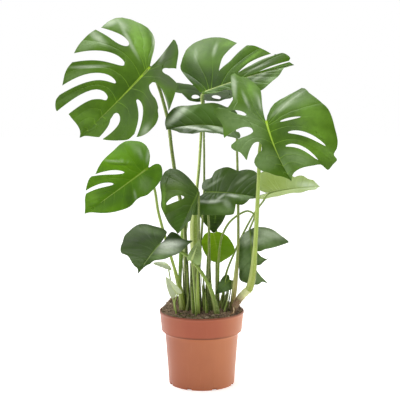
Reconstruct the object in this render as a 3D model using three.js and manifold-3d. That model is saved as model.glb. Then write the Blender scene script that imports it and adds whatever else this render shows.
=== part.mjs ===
// Potted monstera: a plastic nursery pot, its soil, seventeen leaves on their stalks, and the rhizome.
// Millimetres, +Z up, front towards -Y, origin under the middle of the pot on the surface it stands on.
import * as THREE from 'three'
import { mergeVertices } from 'three/addons/utils/BufferGeometryUtils.js'
import Module from 'manifold-3d'

const wasm = await Module()
wasm.setup()

// Pot
const pot = {
  height: 210,
  rimRadius: 120,
  bandRadius: 114,
  bandHeight: 56,
  shoulderDrop: 8,
  bodyRadius: 104,
  baseRadius: 93,
  wall: 2.5,
  recess: 6,
  drainHoles: 8,
  drainWidth: 14,
  drainLength: 18,
  sides: 48
}

// Soil
const soil = { top: 202, heap: 13, floorGap: 0.3, wallGap: 0.4, sides: 36 }

// Leaves and stalks
const bladeThickness = 1.2
const seatGap = 0.3
const seatLead = 10
const ribGap = 0.5
const ribRadius = 1.8
const ribReach = 0.3
const stemDepth = 48
const holeGap = 0.35
const stalkSides = 6
const stalkStep = 55
const rows = { inner: 2, outer: 4 }
const columns = { basal: 5, lobe: 3 }
const widestAt = 0.4

const colours = {
  terracotta: 0xb46b4e,
  soil: 0x4a3a30,
  leaf: 0x4c7a2c,
  darkLeaf: 0x3a6128,
  youngLeaf: 0x6f9a1c,
  paleLeaf: 0xa3b878,
  stalk: 0x7d9a45,
  paleStalk: 0x96b060,
  rhizome: 0x9c8560,
  root: 0xb08a62
}

const rolledLeaf = {
  route: [[-62, 26, 214], [-62, 30, 300], [-60, 34, 345], [-54, 36, 407], [-48, 38, 445], [-36, 40, 490]],
  radii: [5, 5, 6, 9, 8, 1]
}
const rhizome = {
  route: [[90, -26, 214], [97, -32, 234], [113, -41, 259], [131, -50, 278]],
  radii: [8, 9.5, 10.5, 10.5]
}
const aerialRoot = { route: [[82, -68, 214], [87, -72, 216], [89, -64, 224], [88, -55, 227]], radius: 1.8 }

// The margin of an uncut heart-shaped half, from the sinus by the stalk towards the tip
function heart(length, half, back) {
  return [
    [-0.25 * back, 0.1 * half],
    [-0.8 * back, 0.38 * half],
    [-0.95 * back, 0.72 * half],
    [-0.35 * back, half],
    [0.2 * length, 0.98 * half],
    [0.5 * length, 0.74 * half],
    [0.78 * length, 0.36 * half],
    [0.94 * length, 0.1 * half]
  ]
}

// Each leaf: where the stalk joins the blade, where the tip is and which way the upper face looks;
// arch, hang, fold, droop and basal are bends in degrees. A half's edge is its margin [along, across]
// in mm, from the sinus to the tip. A cut has its inner end, the margin point that its mouth comes
// after and half its width. A closed hole has, for the mouth, the place along the margin where its
// vein ends (0 to 1), and the hole's own end (0 to 1 along the vein). A bare number is the place of a
// vein with no cut. The stalk's route runs from the soil to just short of the blade.
const leaves = [
  {
    name: 'upper_left',
    junction: [-140, -90, 890], tip: [-320, -170, 706], face: [0.37, -0.93, 0.04],
    arch: 25, hang: 17, back: 90, half: 150, roots: [0.08, 0.22, 0.4, 0.6],
    left: {
      fold: -23, droop: 10,
      edge: [[-12, 6], [-26, 12], [-57, 23], [-85, 35], [-107, 52], [-123, 80], [-125, 107], [-125, 129],
        [-112, 156], [-82, 169], [-50, 174], [-23, 176], [-2, 185], [9, 187], [37, 189], [70, 187],
        [108, 178], [135, 168], [156, 164], [174, 158], [205, 139], [235, 124], [249, 119], [261, 109],
        [268, 95], [254, 68], [252, 46], [255, 22], [262, 8]],
      cuts: [
        { inner: [-18, 84], after: 11, width: 18 },
        { inner: [41, 55], after: 16, width: 16 },
        { inner: [98, 38], after: 20, width: 11 },
        { inner: [150, 23], after: 24, width: 14 }
      ]
    },
    right: {
      fold: -22, droop: 16, basal: 10,
      edge: [[-9, 2], [-30, 3], [-59, 3], [-92, 2], [-124, 2], [-137, 4], [-142, 14], [-136, 31],
        [-124, 44], [-100, 55], [-82, 66], [-59, 100], [-43, 118], [-24, 139], [5, 157], [41, 115],
        [53, 140], [74, 155], [113, 154], [147, 134], [151, 121], [172, 117], [196, 96], [219, 68],
        [230, 50], [235, 38], [245, 22], [258, 6]],
      cuts: [
        { inner: [-33, 36], after: 10, width: 9 },
        { inner: [28, 37], after: 14, width: 18 },
        { inner: [86, 40], after: 19, width: 9 },
        { inner: [160, 20], after: 24, width: 16 }
      ]
    },
    stalk: {
      base: 8, neck: 6, top: 4.5,
      route: [[-40, 8, 214], [-45, 10, 347], [-48, 10, 430], [-54, 12, 490], [-68, 16, 555],
        [-84, 18, 659], [-94, 16, 742], [-108, 10, 800], [-117, -18, 834], [-129, -44, 866]]
    }
  },
  {
    name: 'upper_middle',
    junction: [3, 55, 824], tip: [258, 21, 900], face: [-0.29, -0.68, 0.67],
    arch: 12, hang: 20, back: 70, half: 130, roots: [0.12, 0.3, 0.52],
    left: {
      fold: -10, droop: 12,
      edge: [[-6, 2], [8, 9], [33, 18], [82, 20], [118, 43], [142, 54], [167, 54], [201, 36], [223, 21],
        [240, 6], [256, 2]],
      cuts: [0.4, 0.6, 0.8]
    },
    right: {
      fold: 20, droop: 11,
      edge: [[-8, 3], [-23, 39], [-37, 78], [-43, 108], [-33, 129], [-14, 158], [8, 171], [38, 172],
        [68, 163], [100, 145], [128, 117], [155, 99], [174, 89], [196, 70], [213, 51], [216, 45],
        [232, 46], [247, 44], [262, 25], [257, 17], [258, 12], [264, 4]],
      cuts: [
        { inner: [60, 46], after: 10, width: 14, pointed: true },
        { inner: [110, 20], after: 14, width: 5, pointed: true },
        { inner: [166, 5], after: 19, width: 2.5, pointed: true }
      ]
    },
    stalk: {
      base: 12.5, neck: 4.6, top: 4, sheath: 0.44,
      route: [[-12, 2, 214], [-18, 0, 347], [-21, 4, 452], [-16, 24, 530], [-8, 58, 610], [-2, 72, 703],
        [2, 76, 778]]
    }
  },
  {
    name: 'middle', colour: 'darkLeaf',
    junction: [96, 10, 716], tip: [-97, -50, 722], face: [0.05, -0.28, 0.95],
    arch: 36, hang: 22, back: 60, half: 100, roots: [0.2, 0.45],
    left: {
      fold: 40, droop: 15,
      edge: [[1, 8], [-11, 37], [-3, 66], [10, 82], [27, 78], [38, 81], [54, 82], [75, 80], [98, 71],
        [117, 65], [132, 66], [147, 70], [164, 66], [179, 55], [194, 40], [203, 20]],
      cuts: [0.45, 0.7]
    },
    right: {
      fold: -15, droop: 15,
      edge: [[-4, 8], [-9, 19], [-4, 34], [9, 44], [25, 42], [44, 39], [65, 37], [82, 35], [113, 37],
        [148, 36], [169, 29], [183, 12], [196, 4]],
      cuts: [0.45, 0.7]
    },
    stalk: {
      base: 7.5, neck: 4.2, top: 3.4,
      route: [[87, 4, 214], [93, -25, 283], [102, -6, 382], [103, 14, 480], [102, 34, 579], [99, 30, 672]]
    }
  },
  {
    name: 'upper_right',
    junction: [171, -130, 748], tip: [235, -178, 593], face: [-0.47, -0.88, 0.07],
    arch: 45, hang: 18, back: 120, half: 140, roots: [0.1, 0.3, 0.5],
    left: {
      fold: 28, droop: 13, basal: 24,
      edge: [[-3, 3], [-31, 3], [-56, 3], [-82, 2], [-105, 3], [-120, 8], [-137, 22], [-152, 36],
        [-155, 51], [-155, 67], [-164, 82], [-148, 88], [-121, 86], [-94, 83], [-75, 80], [-60, 92],
        [-50, 104], [-56, 111], [-59, 124], [-56, 133], [-48, 133], [-36, 125], [-25, 119], [-15, 116],
        [-2, 118], [14, 119], [37, 108], [43, 109], [53, 101], [61, 90], [74, 84], [84, 80], [84, 55],
        [90, 63], [99, 66], [109, 63], [121, 56], [131, 43], [143, 32], [158, 14], [173, 2]],
      cuts: [
        { inner: [-30, 49], mouth: 0.496, width: 6, end: 0.88 },
        { inner: [19, 40], after: 25, width: 13 },
        { inner: [62, 30], after: 31, width: 14 }
      ]
    },
    right: {
      fold: 6, droop: 25,
      edge: [[-3, 3], [-16, 13], [-24, 23], [-34, 29], [-41, 40], [-43, 56], [-44, 77], [-45, 97],
        [-50, 118], [-43, 127], [-25, 135], [-5, 148], [17, 159], [41, 169], [69, 171], [103, 167],
        [137, 160], [156, 149], [168, 134], [186, 134], [192, 118], [197, 101], [188, 97], [175, 93],
        [167, 70], [161, 47], [160, 29], [165, 12]],
      cuts: [
        { inner: [22, 39], mouth: 0.48, width: 3.5, end: 0.548 },
        { inner: [60, 50], mouth: 0.671, width: 5.5, end: 0.865 },
        { inner: [90, 30], mouth: 0.791, width: 4.5, end: 0.868 }
      ]
    },
    stalk: {
      base: 10.5, neck: 7, top: 4.5, fromRhizome: true,
      route: [[139, -66, 310], [146, -92, 410], [149, -114, 508], [152, -122, 590], [156, -118, 683]]
    }
  },
  {
    name: 'left',
    junction: [-149, -60, 617], tip: [-317, -107, 497], face: [0.19, -0.98, 0.11],
    arch: 28, hang: 24, back: 60, half: 90, roots: [0.15, 0.38],
    left: {
      fold: -20, droop: 16,
      edge: [[-6, 2], [-24, 15], [-39, 27], [-55, 47], [-64, 76], [-38, 100], [3, 109], [44, 104],
        [85, 97], [110, 87], [126, 77], [140, 77], [157, 69], [176, 53], [182, 47], [191, 36],
        [201, 18], [210, 4]],
      cuts: [
        { inner: [58, 30], after: 10, width: 7 },
        { inner: [102, 21], after: 13, width: 6 }
      ]
    },
    right: {
      fold: -24, droop: 16,
      edge: [[-7, 2], [-25, 2], [-40, 10], [-49, 25], [-45, 44], [-28, 56], [7, 68], [33, 70], [57, 62],
        [72, 61], [93, 66], [117, 61], [148, 49], [174, 29], [200, 6]],
      cuts: [0.5, 0.72]
    },
    stalk: {
      base: 8, neck: 4.5, top: 3.5,
      route: [[-52, -18, 214], [-61, -20, 270], [-78, -25, 337], [-100, -30, 414], [-121, -28, 493],
        [-131, -8, 550], [-138, -14, 574], [-144, -30, 594]]
    }
  },
  {
    name: 'right', colour: 'paleLeaf',
    junction: [190, 60, 537], tip: [335, 30, 557], face: [-0.15, 0.25, 0.95],
    arch: 15, hang: 10, back: 45, half: 80, roots: [0.25, 0.55],
    left: {
      fold: 35, droop: 0,
      edge: [[-4, 4], [-13, 16], [-20, 31], [-18, 56], [-9, 82], [6, 88], [27, 89], [52, 82], [71, 69],
        [83, 46], [94, 49], [108, 47], [120, 36], [133, 31], [140, 16], [146, 4]],
      cuts: [0.45, 0.72]
    },
    right: {
      fold: 5, droop: 25,
      edge: [[-5, 4], [-20, 3], [-38, 4], [-44, 14], [-42, 29], [-29, 55], [-13, 66], [8, 68], [27, 65],
        [54, 67], [78, 68], [103, 57], [127, 47], [142, 16]],
      cuts: [0.45, 0.72]
    },
    stalk: {
      base: 5.5, neck: 3.2, top: 2.6,
      route: [[60, 18, 214], [68, 28, 301], [95, 46, 369], [125, 62, 430], [153, 64, 480], [178, 66, 514]]
    }
  },
  {
    name: 'front_left', colour: 'darkLeaf',
    junction: [-8, -98, 557], tip: [-65, -148, 449], face: [0.1, -0.95, 0.3],
    arch: 30, hang: 20, back: 60, half: 90, roots: [0.2, 0.5],
    left: {
      fold: -5, droop: 15,
      edge: [[-6, 3], [-13, 14], [-25, 33], [-37, 52], [-52, 74], [-54, 89], [-46, 104], [-25, 112],
        [2, 112], [23, 106], [47, 92], [67, 82], [84, 75], [97, 62], [113, 42], [123, 25], [129, 8]],
      cuts: [{ inner: [34, 29], mouth: 0.77, width: 8, end: 0.848 }, 0.88]
    },
    right: {
      fold: -65, droop: 10,
      edge: [[2, 6], [12, 16], [28, 26], [48, 33], [72, 31], [98, 20], [122, 6]],
      cuts: [0.45, 0.75]
    },
    stalk: {
      base: 9, neck: 4.5, top: 3.2,
      route: [[-12, -34, 214], [-11, -35, 273], [-8, -50, 358], [-8, -76, 456], [-8, -88, 520]]
    }
  },
  {
    name: 'front_right', colour: 'darkLeaf',
    junction: [10, -35, 549], tip: [155, -47, 536], face: [0, -0.55, 0.83],
    arch: 15, hang: 15, back: 50, half: 90, roots: [0.25, 0.55],
    left: {
      fold: 12, droop: 85,
      edge: [[-3, 2], [-13, 20], [-23, 29], [-38, 42], [-42, 55], [-45, 70], [-12, 75], [33, 75],
        [84, 69], [88, 54], [89, 39], [95, 40], [108, 38], [118, 28], [125, 16], [136, 10], [143, 4]],
      cuts: [0.5, 0.75]
    },
    right: {
      fold: 15, droop: 10,
      edge: [[-3, 7], [-10, 11], [-13, 29], [-8, 45], [3, 49], [11, 51], [15, 68], [19, 80], [32, 89],
        [54, 95], [71, 91], [82, 86], [95, 93], [112, 96], [125, 95], [135, 87], [141, 61], [146, 32],
        [147, 8]],
      cuts: [0.45, 0.72]
    },
    stalk: {
      base: 9.5, neck: 4.2, top: 3.2,
      route: [[22, -14, 214], [21, -12, 349], [20, -12, 441], [16, -15, 514]]
    }
  },
  {
    name: 'lower_left', colour: 'darkLeaf',
    junction: [-111, -110, 418], tip: [-168, -215, 352], face: [0.15, -0.6, 0.8],
    arch: 30, hang: -30, back: 60, half: 85, roots: [0.2, 0.5],
    left: {
      fold: -5, droop: 15,
      edge: [[-6, 2], [-30, 3], [-50, 6], [-57, 25], [-56, 53], [-55, 72], [-52, 90], [-47, 100],
        [-38, 107], [-24, 110], [-6, 110], [20, 105], [44, 98], [68, 89], [88, 77], [90, 64], [93, 53],
        [107, 37], [119, 21], [122, 10], [130, 3]],
      cuts: [0.45, 0.72]
    },
    right: {
      fold: -5, droop: 5,
      edge: [[-6, 2], [-34, 2], [-52, 2], [-60, 7], [-60, 14], [-59, 27], [-54, 39], [-56, 53], [-63, 68],
        [-49, 64], [-26, 60], [-8, 57], [16, 52], [31, 46], [48, 39], [63, 28], [78, 17], [93, 13],
        [104, 7], [118, 3]],
      cuts: [0.45, 0.72]
    },
    stalk: {
      base: 8.5, neck: 6, top: 3.6,
      route: [[42, -60, 214], [22, -66, 287], [-8, -72, 340], [-41, -77, 378], [-82, -82, 402]]
    }
  },
  {
    name: 'lower_right', colour: 'darkLeaf',
    junction: [137, 30, 434], tip: [140, 5, 274], face: [0.1, -0.9, 0.4],
    arch: 60, hang: 20, back: 20, half: 80, roots: [0.25, 0.5],
    left: {
      fold: -15, droop: 10,
      edge: [[0, 2], [3, 11], [10, 21], [19, 27], [28, 31], [46, 35], [64, 37], [83, 36], [101, 38],
        [119, 36], [138, 36], [151, 30], [157, 18], [161, 6]],
      cuts: [0.45, 0.72]
    },
    right: {
      fold: 0, droop: 15,
      edge: [[-1, 2], [-9, 16], [-11, 34], [-7, 54], [0, 72], [12, 89], [24, 104], [36, 113], [79, 55],
        [157, 47], [154, 31], [161, 20], [162, 6]],
      cuts: [
        { inner: [65, 16], after: 7, width: 13, pointed: true },
        { inner: [104, 10], after: 8, width: 12, pointed: true }
      ]
    },
    stalk: {
      base: 6.5, neck: 3.8, top: 2.6,
      route: [[45, -2, 214], [48, 8, 351], [57, 15, 416], [77, 22, 455], [103, 26, 477], [131, 32, 488],
        [150, 40, 475]]
    }
  },
  {
    name: 'inner_bright', colour: 'youngLeaf',
    junction: [35, 50, 419], tip: [52, 35, 338], face: [0, -0.95, 0.3],
    arch: 20, hang: 20, back: 15, half: 45, roots: [0.4],
    left: {
      fold: 10, droop: 10,
      edge: [[-4, 2], [-9, 16], [-1, 30], [17, 40], [38, 40], [60, 33], [76, 20], [82, 6]], cuts: [0.6]
    },
    right: {
      fold: 10, droop: 10,
      edge: [[-3, 2], [-5, 10], [2, 23], [14, 36], [30, 44], [48, 49], [59, 48], [71, 35], [80, 12]],
      cuts: [0.6]
    },
    stalk: { base: 6, neck: 3.4, top: 2.4, route: [[16, 46, 214], [24, 62, 336], [32, 64, 395]] }
  },
  {
    name: 'inner_low', colour: 'darkLeaf',
    junction: [79, 3, 294], tip: [40, -20, 258], face: [-0.1, -0.9, 0.42],
    arch: 20, hang: 10, back: 8, half: 22, roots: [0.4],
    left: { fold: 6, droop: 10, edge: heart(58, 20, 10), cuts: [0.6] },
    right: { fold: 0, droop: 10, edge: heart(58, 24, 10), cuts: [0.6] },
    stalk: { base: 3, neck: 2.6, top: 2.2, route: [[70, 16, 214], [77, 14, 268]] }
  },
  {
    name: 'sprout', colour: 'paleLeaf',
    junction: [-94, -30, 343], tip: [-133, -60, 353], face: [0.1, -0.6, 0.8],
    arch: 20, hang: 10, back: 8, half: 20, roots: [0.4],
    left: { fold: -15, droop: 10, edge: heart(55, 18, 8), cuts: [0.6] },
    right: { fold: -5, droop: 10, edge: heart(55, 18, 8), cuts: [0.6] },
    stalk: { base: 2.2, neck: 2, top: 1.8, route: [[-77, -20, 214], [-83, -22, 262], [-91, -24, 318]] }
  },
  {
    name: 'sprout_folded', colour: 'paleLeaf',
    junction: [-70, -48, 266], tip: [-101, -60, 318], face: [-0.3, -0.9, 0.3],
    arch: 10, hang: 10, back: 6, half: 17, roots: [0.4],
    left: { fold: 20, droop: 5, edge: heart(60, 17, 5), cuts: [0.6] },
    right: { fold: 30, droop: 5, edge: heart(60, 19, 5), cuts: [0.6] },
    stalk: { base: 2.6, neck: 2.4, top: 2, route: [[-72, -46, 214], [-76, -40, 238], [-72, -40, 252]] }
  },
  {
    name: 'inner_pale', colour: 'paleLeaf',
    junction: [-27, -96, 371], tip: [-6, -104, 428], face: [-0.1, -0.95, 0.2],
    arch: 16, hang: 10, back: 8, half: 24, roots: [0.4],
    left: { fold: 12, droop: 10, edge: heart(60, 26, 8), cuts: [0.6] },
    right: { fold: 12, droop: 10, edge: heart(60, 14, 8), cuts: [0.6] },
    stalk: { base: 3, neck: 2.6, top: 2.2, route: [[-16, -74, 214], [-21, -86, 290], [-26, -92, 350]] }
  },
  {
    name: 'inner_dark', colour: 'darkLeaf',
    junction: [41, 84, 486], tip: [35, 76, 418], face: [0, -0.9, 0.4],
    arch: 20, hang: 20, back: 20, half: 50, roots: [0.4],
    left: { fold: 0, droop: 20, edge: heart(70, 50, 22), cuts: [0.6] },
    right: { fold: 0, droop: 20, edge: heart(70, 30, 22), cuts: [0.6] },
    stalk: { base: 7, neck: 4, top: 2.6, route: [[45, 40, 214], [43, 78, 341], [42, 98, 441], [42, 96, 468]] }
  },
  {
    name: 'back', colour: 'darkLeaf',
    junction: [6, 100, 803], tip: [6, 200, 850], face: [0, -0.4, 0.9],
    arch: 10, hang: 10, back: 20, half: 80, roots: [0.12],
    left: {
      fold: 10, droop: 0,
      edge: [[-4, 3], [-11, 9], [-16, 24], [-18, 44], [-15, 61], [-15, 79], [-1, 88], [21, 88], [43, 77],
        [65, 54], [94, 19]],
      cuts: [{ inner: [10, 24], mouth: 0.218, width: 8, end: 0.876 }]
    },
    right: {
      fold: 24, droop: 5,
      edge: [[-4, 2], [-17, 12], [-24, 34], [-24, 49], [-13, 61], [-8, 73], [-11, 88], [-6, 97],
        [15, 98], [34, 92], [47, 74], [45, 53], [50, 36], [80, 24], [104, 6]],
      cuts: [{ inner: [7, 14], mouth: 0.172, width: 8, end: 0.792 }]
    },
    stalk: {
      base: 7, neck: 3.8, top: 2.8,
      route: [[-14, 50, 214], [-4, 62, 371], [6, 66, 516], [7, 76, 620], [6, 88, 720], [5, 94, 778]]
    }
  }
]

const group = new THREE.Group()

function add(name, geometry, colour, roughness = 0.6) {
  const material = new THREE.MeshStandardMaterial({ color: colour, roughness, metalness: 0 })
  const mesh = new THREE.Mesh(geometry, material)
  mesh.name = name
  group.add(mesh)
}

function welded(geometry) {
  const bare = geometry.clone()
  bare.deleteAttribute('normal')
  bare.deleteAttribute('uv')
  return mergeVertices(bare, 1e-4)
}

function toSolid(geometry) {
  const merged = welded(geometry)
  return new wasm.Manifold(new wasm.Mesh({
    numProp: 3,
    vertProperties: new Float32Array(merged.attributes.position.array),
    triVerts: new Uint32Array(merged.index.array)
  }))
}

function toGeometry(solid) {
  const mesh = solid.getMesh()
  const geometry = new THREE.BufferGeometry()
  geometry.setAttribute('position', new THREE.BufferAttribute(new Float32Array(mesh.vertProperties), 3))
  geometry.setIndex(new THREE.BufferAttribute(new Uint32Array(mesh.triVerts), 1))
  return geometry
}

function meshOf(points, triangles) {
  const geometry = new THREE.BufferGeometry()
  const flat = points.flatMap(p => [p.x, p.y, p.z])
  geometry.setAttribute('position', new THREE.BufferAttribute(new Float32Array(flat), 3))
  geometry.setIndex(triangles.flat())
  return geometry
}

const radians = THREE.MathUtils.degToRad
const vector = ([x, y, z]) => new THREE.Vector3(x, y, z)

// Travel along an arc: sideways, upwards and the final heading after a distance
function bent(distance, heading, turn) {
  if (Math.abs(turn) < 1e-7) {
    return [distance * Math.cos(heading), distance * Math.sin(heading), heading]
  }
  const end = heading - turn * distance
  return [(Math.sin(heading) - Math.sin(end)) / turn, (Math.cos(end) - Math.cos(heading)) / turn, end]
}

// A leaf's own axes and the length of its midrib
function placed(leaf) {
  const origin = vector(leaf.junction)
  const chord = vector(leaf.tip).sub(origin)
  const along = chord.clone().normalize()
  const face = vector(leaf.face)
  face.addScaledVector(along, -face.dot(along)).normalize()
  const across = new THREE.Vector3().crossVectors(along, face)
  const halfArch = radians(leaf.arch) / 2
  const length = chord.length() * halfArch / Math.sin(halfArch)
  return { ...leaf, origin, along, normal: face, across, length }
}

// The point of the blade at u along the midrib and v across it, lifted off the surface by height
function bladePoint(leaf, u, v, height = 0) {
  const arch = radians(leaf.arch)
  let forward, rise, heading
  if (u >= 0) {
    [forward, rise, heading] = bent(u, arch / 2, arch / leaf.length)
  } else {
    [forward, rise, heading] = bent(-u, -arch / 2, radians(leaf.hang) / leaf.back)
    forward = -forward
    heading = -heading
  }
  const half = v >= 0 ? leaf.left : leaf.right
  const nearness = THREE.MathUtils.smoothstep(-u, 0, leaf.back)
  const fold = radians(half.fold + (half.basal ?? 0) * nearness)
  const [side, up] = bent(Math.abs(v), fold, radians(half.droop) / leaf.half)
  const upward = leaf.along.clone().multiplyScalar(-Math.sin(heading))
  upward.addScaledVector(leaf.normal, Math.cos(heading))
  return leaf.origin.clone()
    .addScaledVector(leaf.along, forward)
    .addScaledVector(leaf.normal, rise)
    .addScaledVector(leaf.across, Math.sign(v) * side)
    .addScaledVector(upward, up + height)
}

// A smooth flat curve through points: its point at a fraction of its length, and each point's place
function marginThrough(points) {
  const p = points.map(([u, v]) => new THREE.Vector2(u, v))
  const first = p[0].clone().multiplyScalar(2).sub(p[1])
  const last = p.at(-1).clone().multiplyScalar(2).sub(p.at(-2))
  const lengths = p.slice(1).map((q, i) => q.distanceTo(p[i]))
  const total = lengths.reduce((a, b) => a + b, 0)
  const places = [0]
  lengths.forEach((length, i) => places.push(places[i] + length / total))
  const directions = p.map((q, i) => {
    const [before, after] = [p[i - 1] ?? first, p[i + 1] ?? last]
    return after.clone().sub(before).divideScalar(q.distanceTo(before) + q.distanceTo(after))
  })
  const at = fraction => {
    let distance = THREE.MathUtils.clamp(fraction, 0, 1) * total
    let i = 0
    while (i < lengths.length - 1 && distance > lengths[i]) {
      distance -= lengths[i]
      i += 1
    }
    const t = distance / lengths[i]
    return new THREE.Vector2()
      .addScaledVector(p[i], 2 * t ** 3 - 3 * t * t + 1)
      .addScaledVector(p[i + 1], 3 * t * t - 2 * t ** 3)
      .addScaledVector(directions[i], lengths[i] * (t ** 3 - 2 * t * t + t))
      .addScaledVector(directions[i + 1], lengths[i] * (t ** 3 - t * t))
  }
  return { at, places }
}

// A lateral vein from the midrib through a point inside the blade to the margin
function veinThrough(root, inner, mouth) {
  const near = inner.distanceTo(root)
  const reach = near / (near + mouth.distanceTo(inner))
  const at = r => new THREE.Vector2()
    .addScaledVector(root, (r - reach) * (r - 1) / reach)
    .addScaledVector(inner, r * (r - 1) / (reach * (reach - 1)))
    .addScaledVector(mouth, r * (r - reach) / (1 - reach))
  return { at, reach }
}

function veinsOf(leaf, half, margin) {
  const start = margin.at(0)
  const veins = [{ at: r => start.clone().multiplyScalar(r), corners: [0, 0] }]
  half.cuts.forEach((cut, k) => {
    const root = new THREE.Vector2(leaf.roots[k] * leaf.length, 0)
    const corners = [cut.mouth ?? cut, cut.mouth ?? cut]
    if (cut.after !== undefined) {
      corners.splice(0, 2, margin.places[cut.after], margin.places[cut.after + 1])
    }
    const mouth = margin.at((corners[0] + corners[1]) / 2)
    if (cut.inner) {
      const sides = corners.map(place => margin.at(place).sub(mouth))
      veins.push({ ...veinThrough(root, new THREE.Vector2(...cut.inner), mouth), corners, sides, cut })
    } else {
      const middle = root.clone().lerp(mouth, 0.5)
      middle.x -= 0.06 * root.distanceTo(mouth)
      veins.push({ at: veinThrough(root, middle, mouth).at, corners })
    }
  })
  const last = leaf.roots.at(-1) * leaf.length
  veins.push({ at: r => new THREE.Vector2(last + (leaf.length - last) * r, 0), corners: [1, 1] })
  return veins
}

// How far out a vein's row lies, from 0 at the midrib to 1 at the margin
function rowPlace(vein, row) {
  const all = rows.inner + rows.outer
  if (!vein.cut) {
    return row / all
  }
  if (row <= rows.inner) {
    return vein.reach * row / rows.inner
  }
  const out = row - rows.inner
  if (vein.cut.end) {
    return row === all ? 1 : vein.reach + (vein.cut.end - vein.reach) * out / (rows.outer - 1)
  }
  return vein.reach + (1 - vein.reach) * out / rows.outer
}

// Half the width of the cut at a place along its vein, and how far it has opened into its mouth
function gapAt(vein, r) {
  const cut = vein.cut
  if (!cut || r <= vein.reach || r >= (cut.end ?? 2) - 1e-9) {
    return { gap: 0, opened: 0 }
  }
  if (cut.end) {
    const t = (r - vein.reach) / (cut.end - vein.reach)
    return { gap: cut.width * Math.sqrt(4 * t * (1 - t)) * (1.15 - 0.3 * t), opened: 0 }
  }
  const t = (r - vein.reach) / (1 - vein.reach)
  const nearEnd = Math.min(1, t / widestAt)
  const gap = cut.width * (cut.pointed ? nearEnd : Math.sqrt(1 - (1 - nearEnd) ** 2))
  return { gap, opened: Math.max(0, (t - widestAt) / (1 - widestAt)) }
}

// A vein's point in a row, moved off its cut towards the lobe in front (1) or behind (-1)
function lobeEdge(vein, row, towards) {
  const r = rowPlace(vein, row)
  const { gap, opened } = gapAt(vein, r)
  const point = vein.at(r)
  if (gap > 0) {
    const run = vein.at(Math.min(1, r + 0.01)).sub(vein.at(Math.max(0, r - 0.01))).normalize()
    const away = new THREE.Vector2(run.y, -run.x).multiplyScalar(gap * towards)
    point.add(away.lerp(vein.sides[towards > 0 ? 1 : 0], opened))
  }
  return { point, gap, r }
}

// The flat net of a blade: its vertices [u, v] and four- or three-sided faces
function bladeNet(leaf) {
  const flat = []
  const faces = []
  const index = new Map()
  const all = rows.inner + rows.outer
  const vertex = (key, u, v) => {
    if (!index.has(key)) {
      index.set(key, flat.length)
      flat.push([u, v])
    }
    return index.get(key)
  }
  const roots = [0, ...leaf.roots.map(root => root * leaf.length)]
  for (const [half, sign] of [[leaf.left, 1], [leaf.right, -1]]) {
    const margin = marginThrough([...half.edge, [leaf.length, 0]])
    const veins = veinsOf(leaf, half, margin)
    for (let lobe = 0; lobe < veins.length - 1; lobe += 1) {
      const [from, to] = [veins[lobe], veins[lobe + 1]]
      const wide = lobe === 0 ? columns.basal : columns.lobe
      const net = []
      for (let row = 0; row <= all; row += 1) {
        const near = lobeEdge(from, row, 1)
        const far = lobeEdge(to, row, -1)
        net.push([])
        for (let column = 0; column <= wide; column += 1) {
          const c = column / wide
          const point = near.point.clone().lerp(far.point, c)
          const [start, end] = [from.corners[1], to.corners[0]]
          const rim = margin.at(start + (end - start) * c)
          const straight = margin.at(start).lerp(margin.at(end), c)
          const out = near.r + (far.r - near.r) * c
          point.addScaledVector(rim.sub(straight), out ** 1.5)
          let key = `${sign} ${lobe} ${row} ${column}`
          if (column === 0) {
            key = `${sign} vein ${lobe} ${row}${near.gap > 0 ? ' front' : ''}`
          } else if (column === wide) {
            key = `${sign} vein ${lobe + 1} ${row}${far.gap > 0 ? ' back' : ''}`
          }
          const onTipRib = lobe === veins.length - 2 && column === wide
          if (row === 0) {
            point.set(roots[lobe] + ((roots[lobe + 1] ?? roots[lobe]) - roots[lobe]) * c, 0)
          }
          if (row === 0 || onTipRib) {
            key = `rib ${point.x.toFixed(3)}`
            point.y = 0
          }
          net[row].push(vertex(key, point.x, sign * point.y))
        }
      }
      for (let row = 0; row < all; row += 1) {
        for (let column = 0; column < wide; column += 1) {
          const near = net[row]
          const far = net[row + 1]
          const corners = [near[column], near[column + 1], far[column + 1], far[column]]
          if (sign > 0) {
            corners.reverse()
          }
          const face = corners.filter((corner, i) => corner !== corners[(i + 3) % 4])
          if (face.length > 2) {
            faces.push(face)
          }
        }
      }
    }
  }
  return { flat, faces }
}

// A closed thin solid from a net laid on the blade's surface
function bladeGeometry(leaf) {
  const { flat, faces } = bladeNet(leaf)
  const middle = flat.map(([u, v]) => bladePoint(leaf, u, v))
  const normals = middle.map(() => new THREE.Vector3())
  const triangles = faces.flatMap(face => (face.length === 4
    ? [[face[0], face[1], face[2]], [face[0], face[2], face[3]]]
    : [face]))
  for (const [a, b, c] of triangles) {
    const side = middle[b].clone().sub(middle[a])
    const normal = side.cross(middle[c].clone().sub(middle[a]))
    for (const corner of [a, b, c]) {
      normals[corner].add(normal)
    }
  }
  normals.forEach(normal => normal.normalize())
  const count = middle.length
  const top = middle.map((p, i) => p.clone().addScaledVector(normals[i], bladeThickness / 2))
  const bottom = middle.map((p, i) => p.clone().addScaledVector(normals[i], -bladeThickness / 2))
  const closed = []
  const open = new Map()
  for (const [a, b, c] of triangles) {
    closed.push([a, b, c], [count + c, count + b, count + a])
    for (const [from, to] of [[a, b], [b, c], [c, a]]) {
      if (!open.delete(`${to} ${from}`)) {
        open.set(`${from} ${to}`, [from, to])
      }
    }
  }
  for (const [from, to] of open.values()) {
    closed.push([to, from, count + from], [to, count + from, count + to])
  }
  return meshOf([...top, ...bottom], closed)
}

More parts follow.
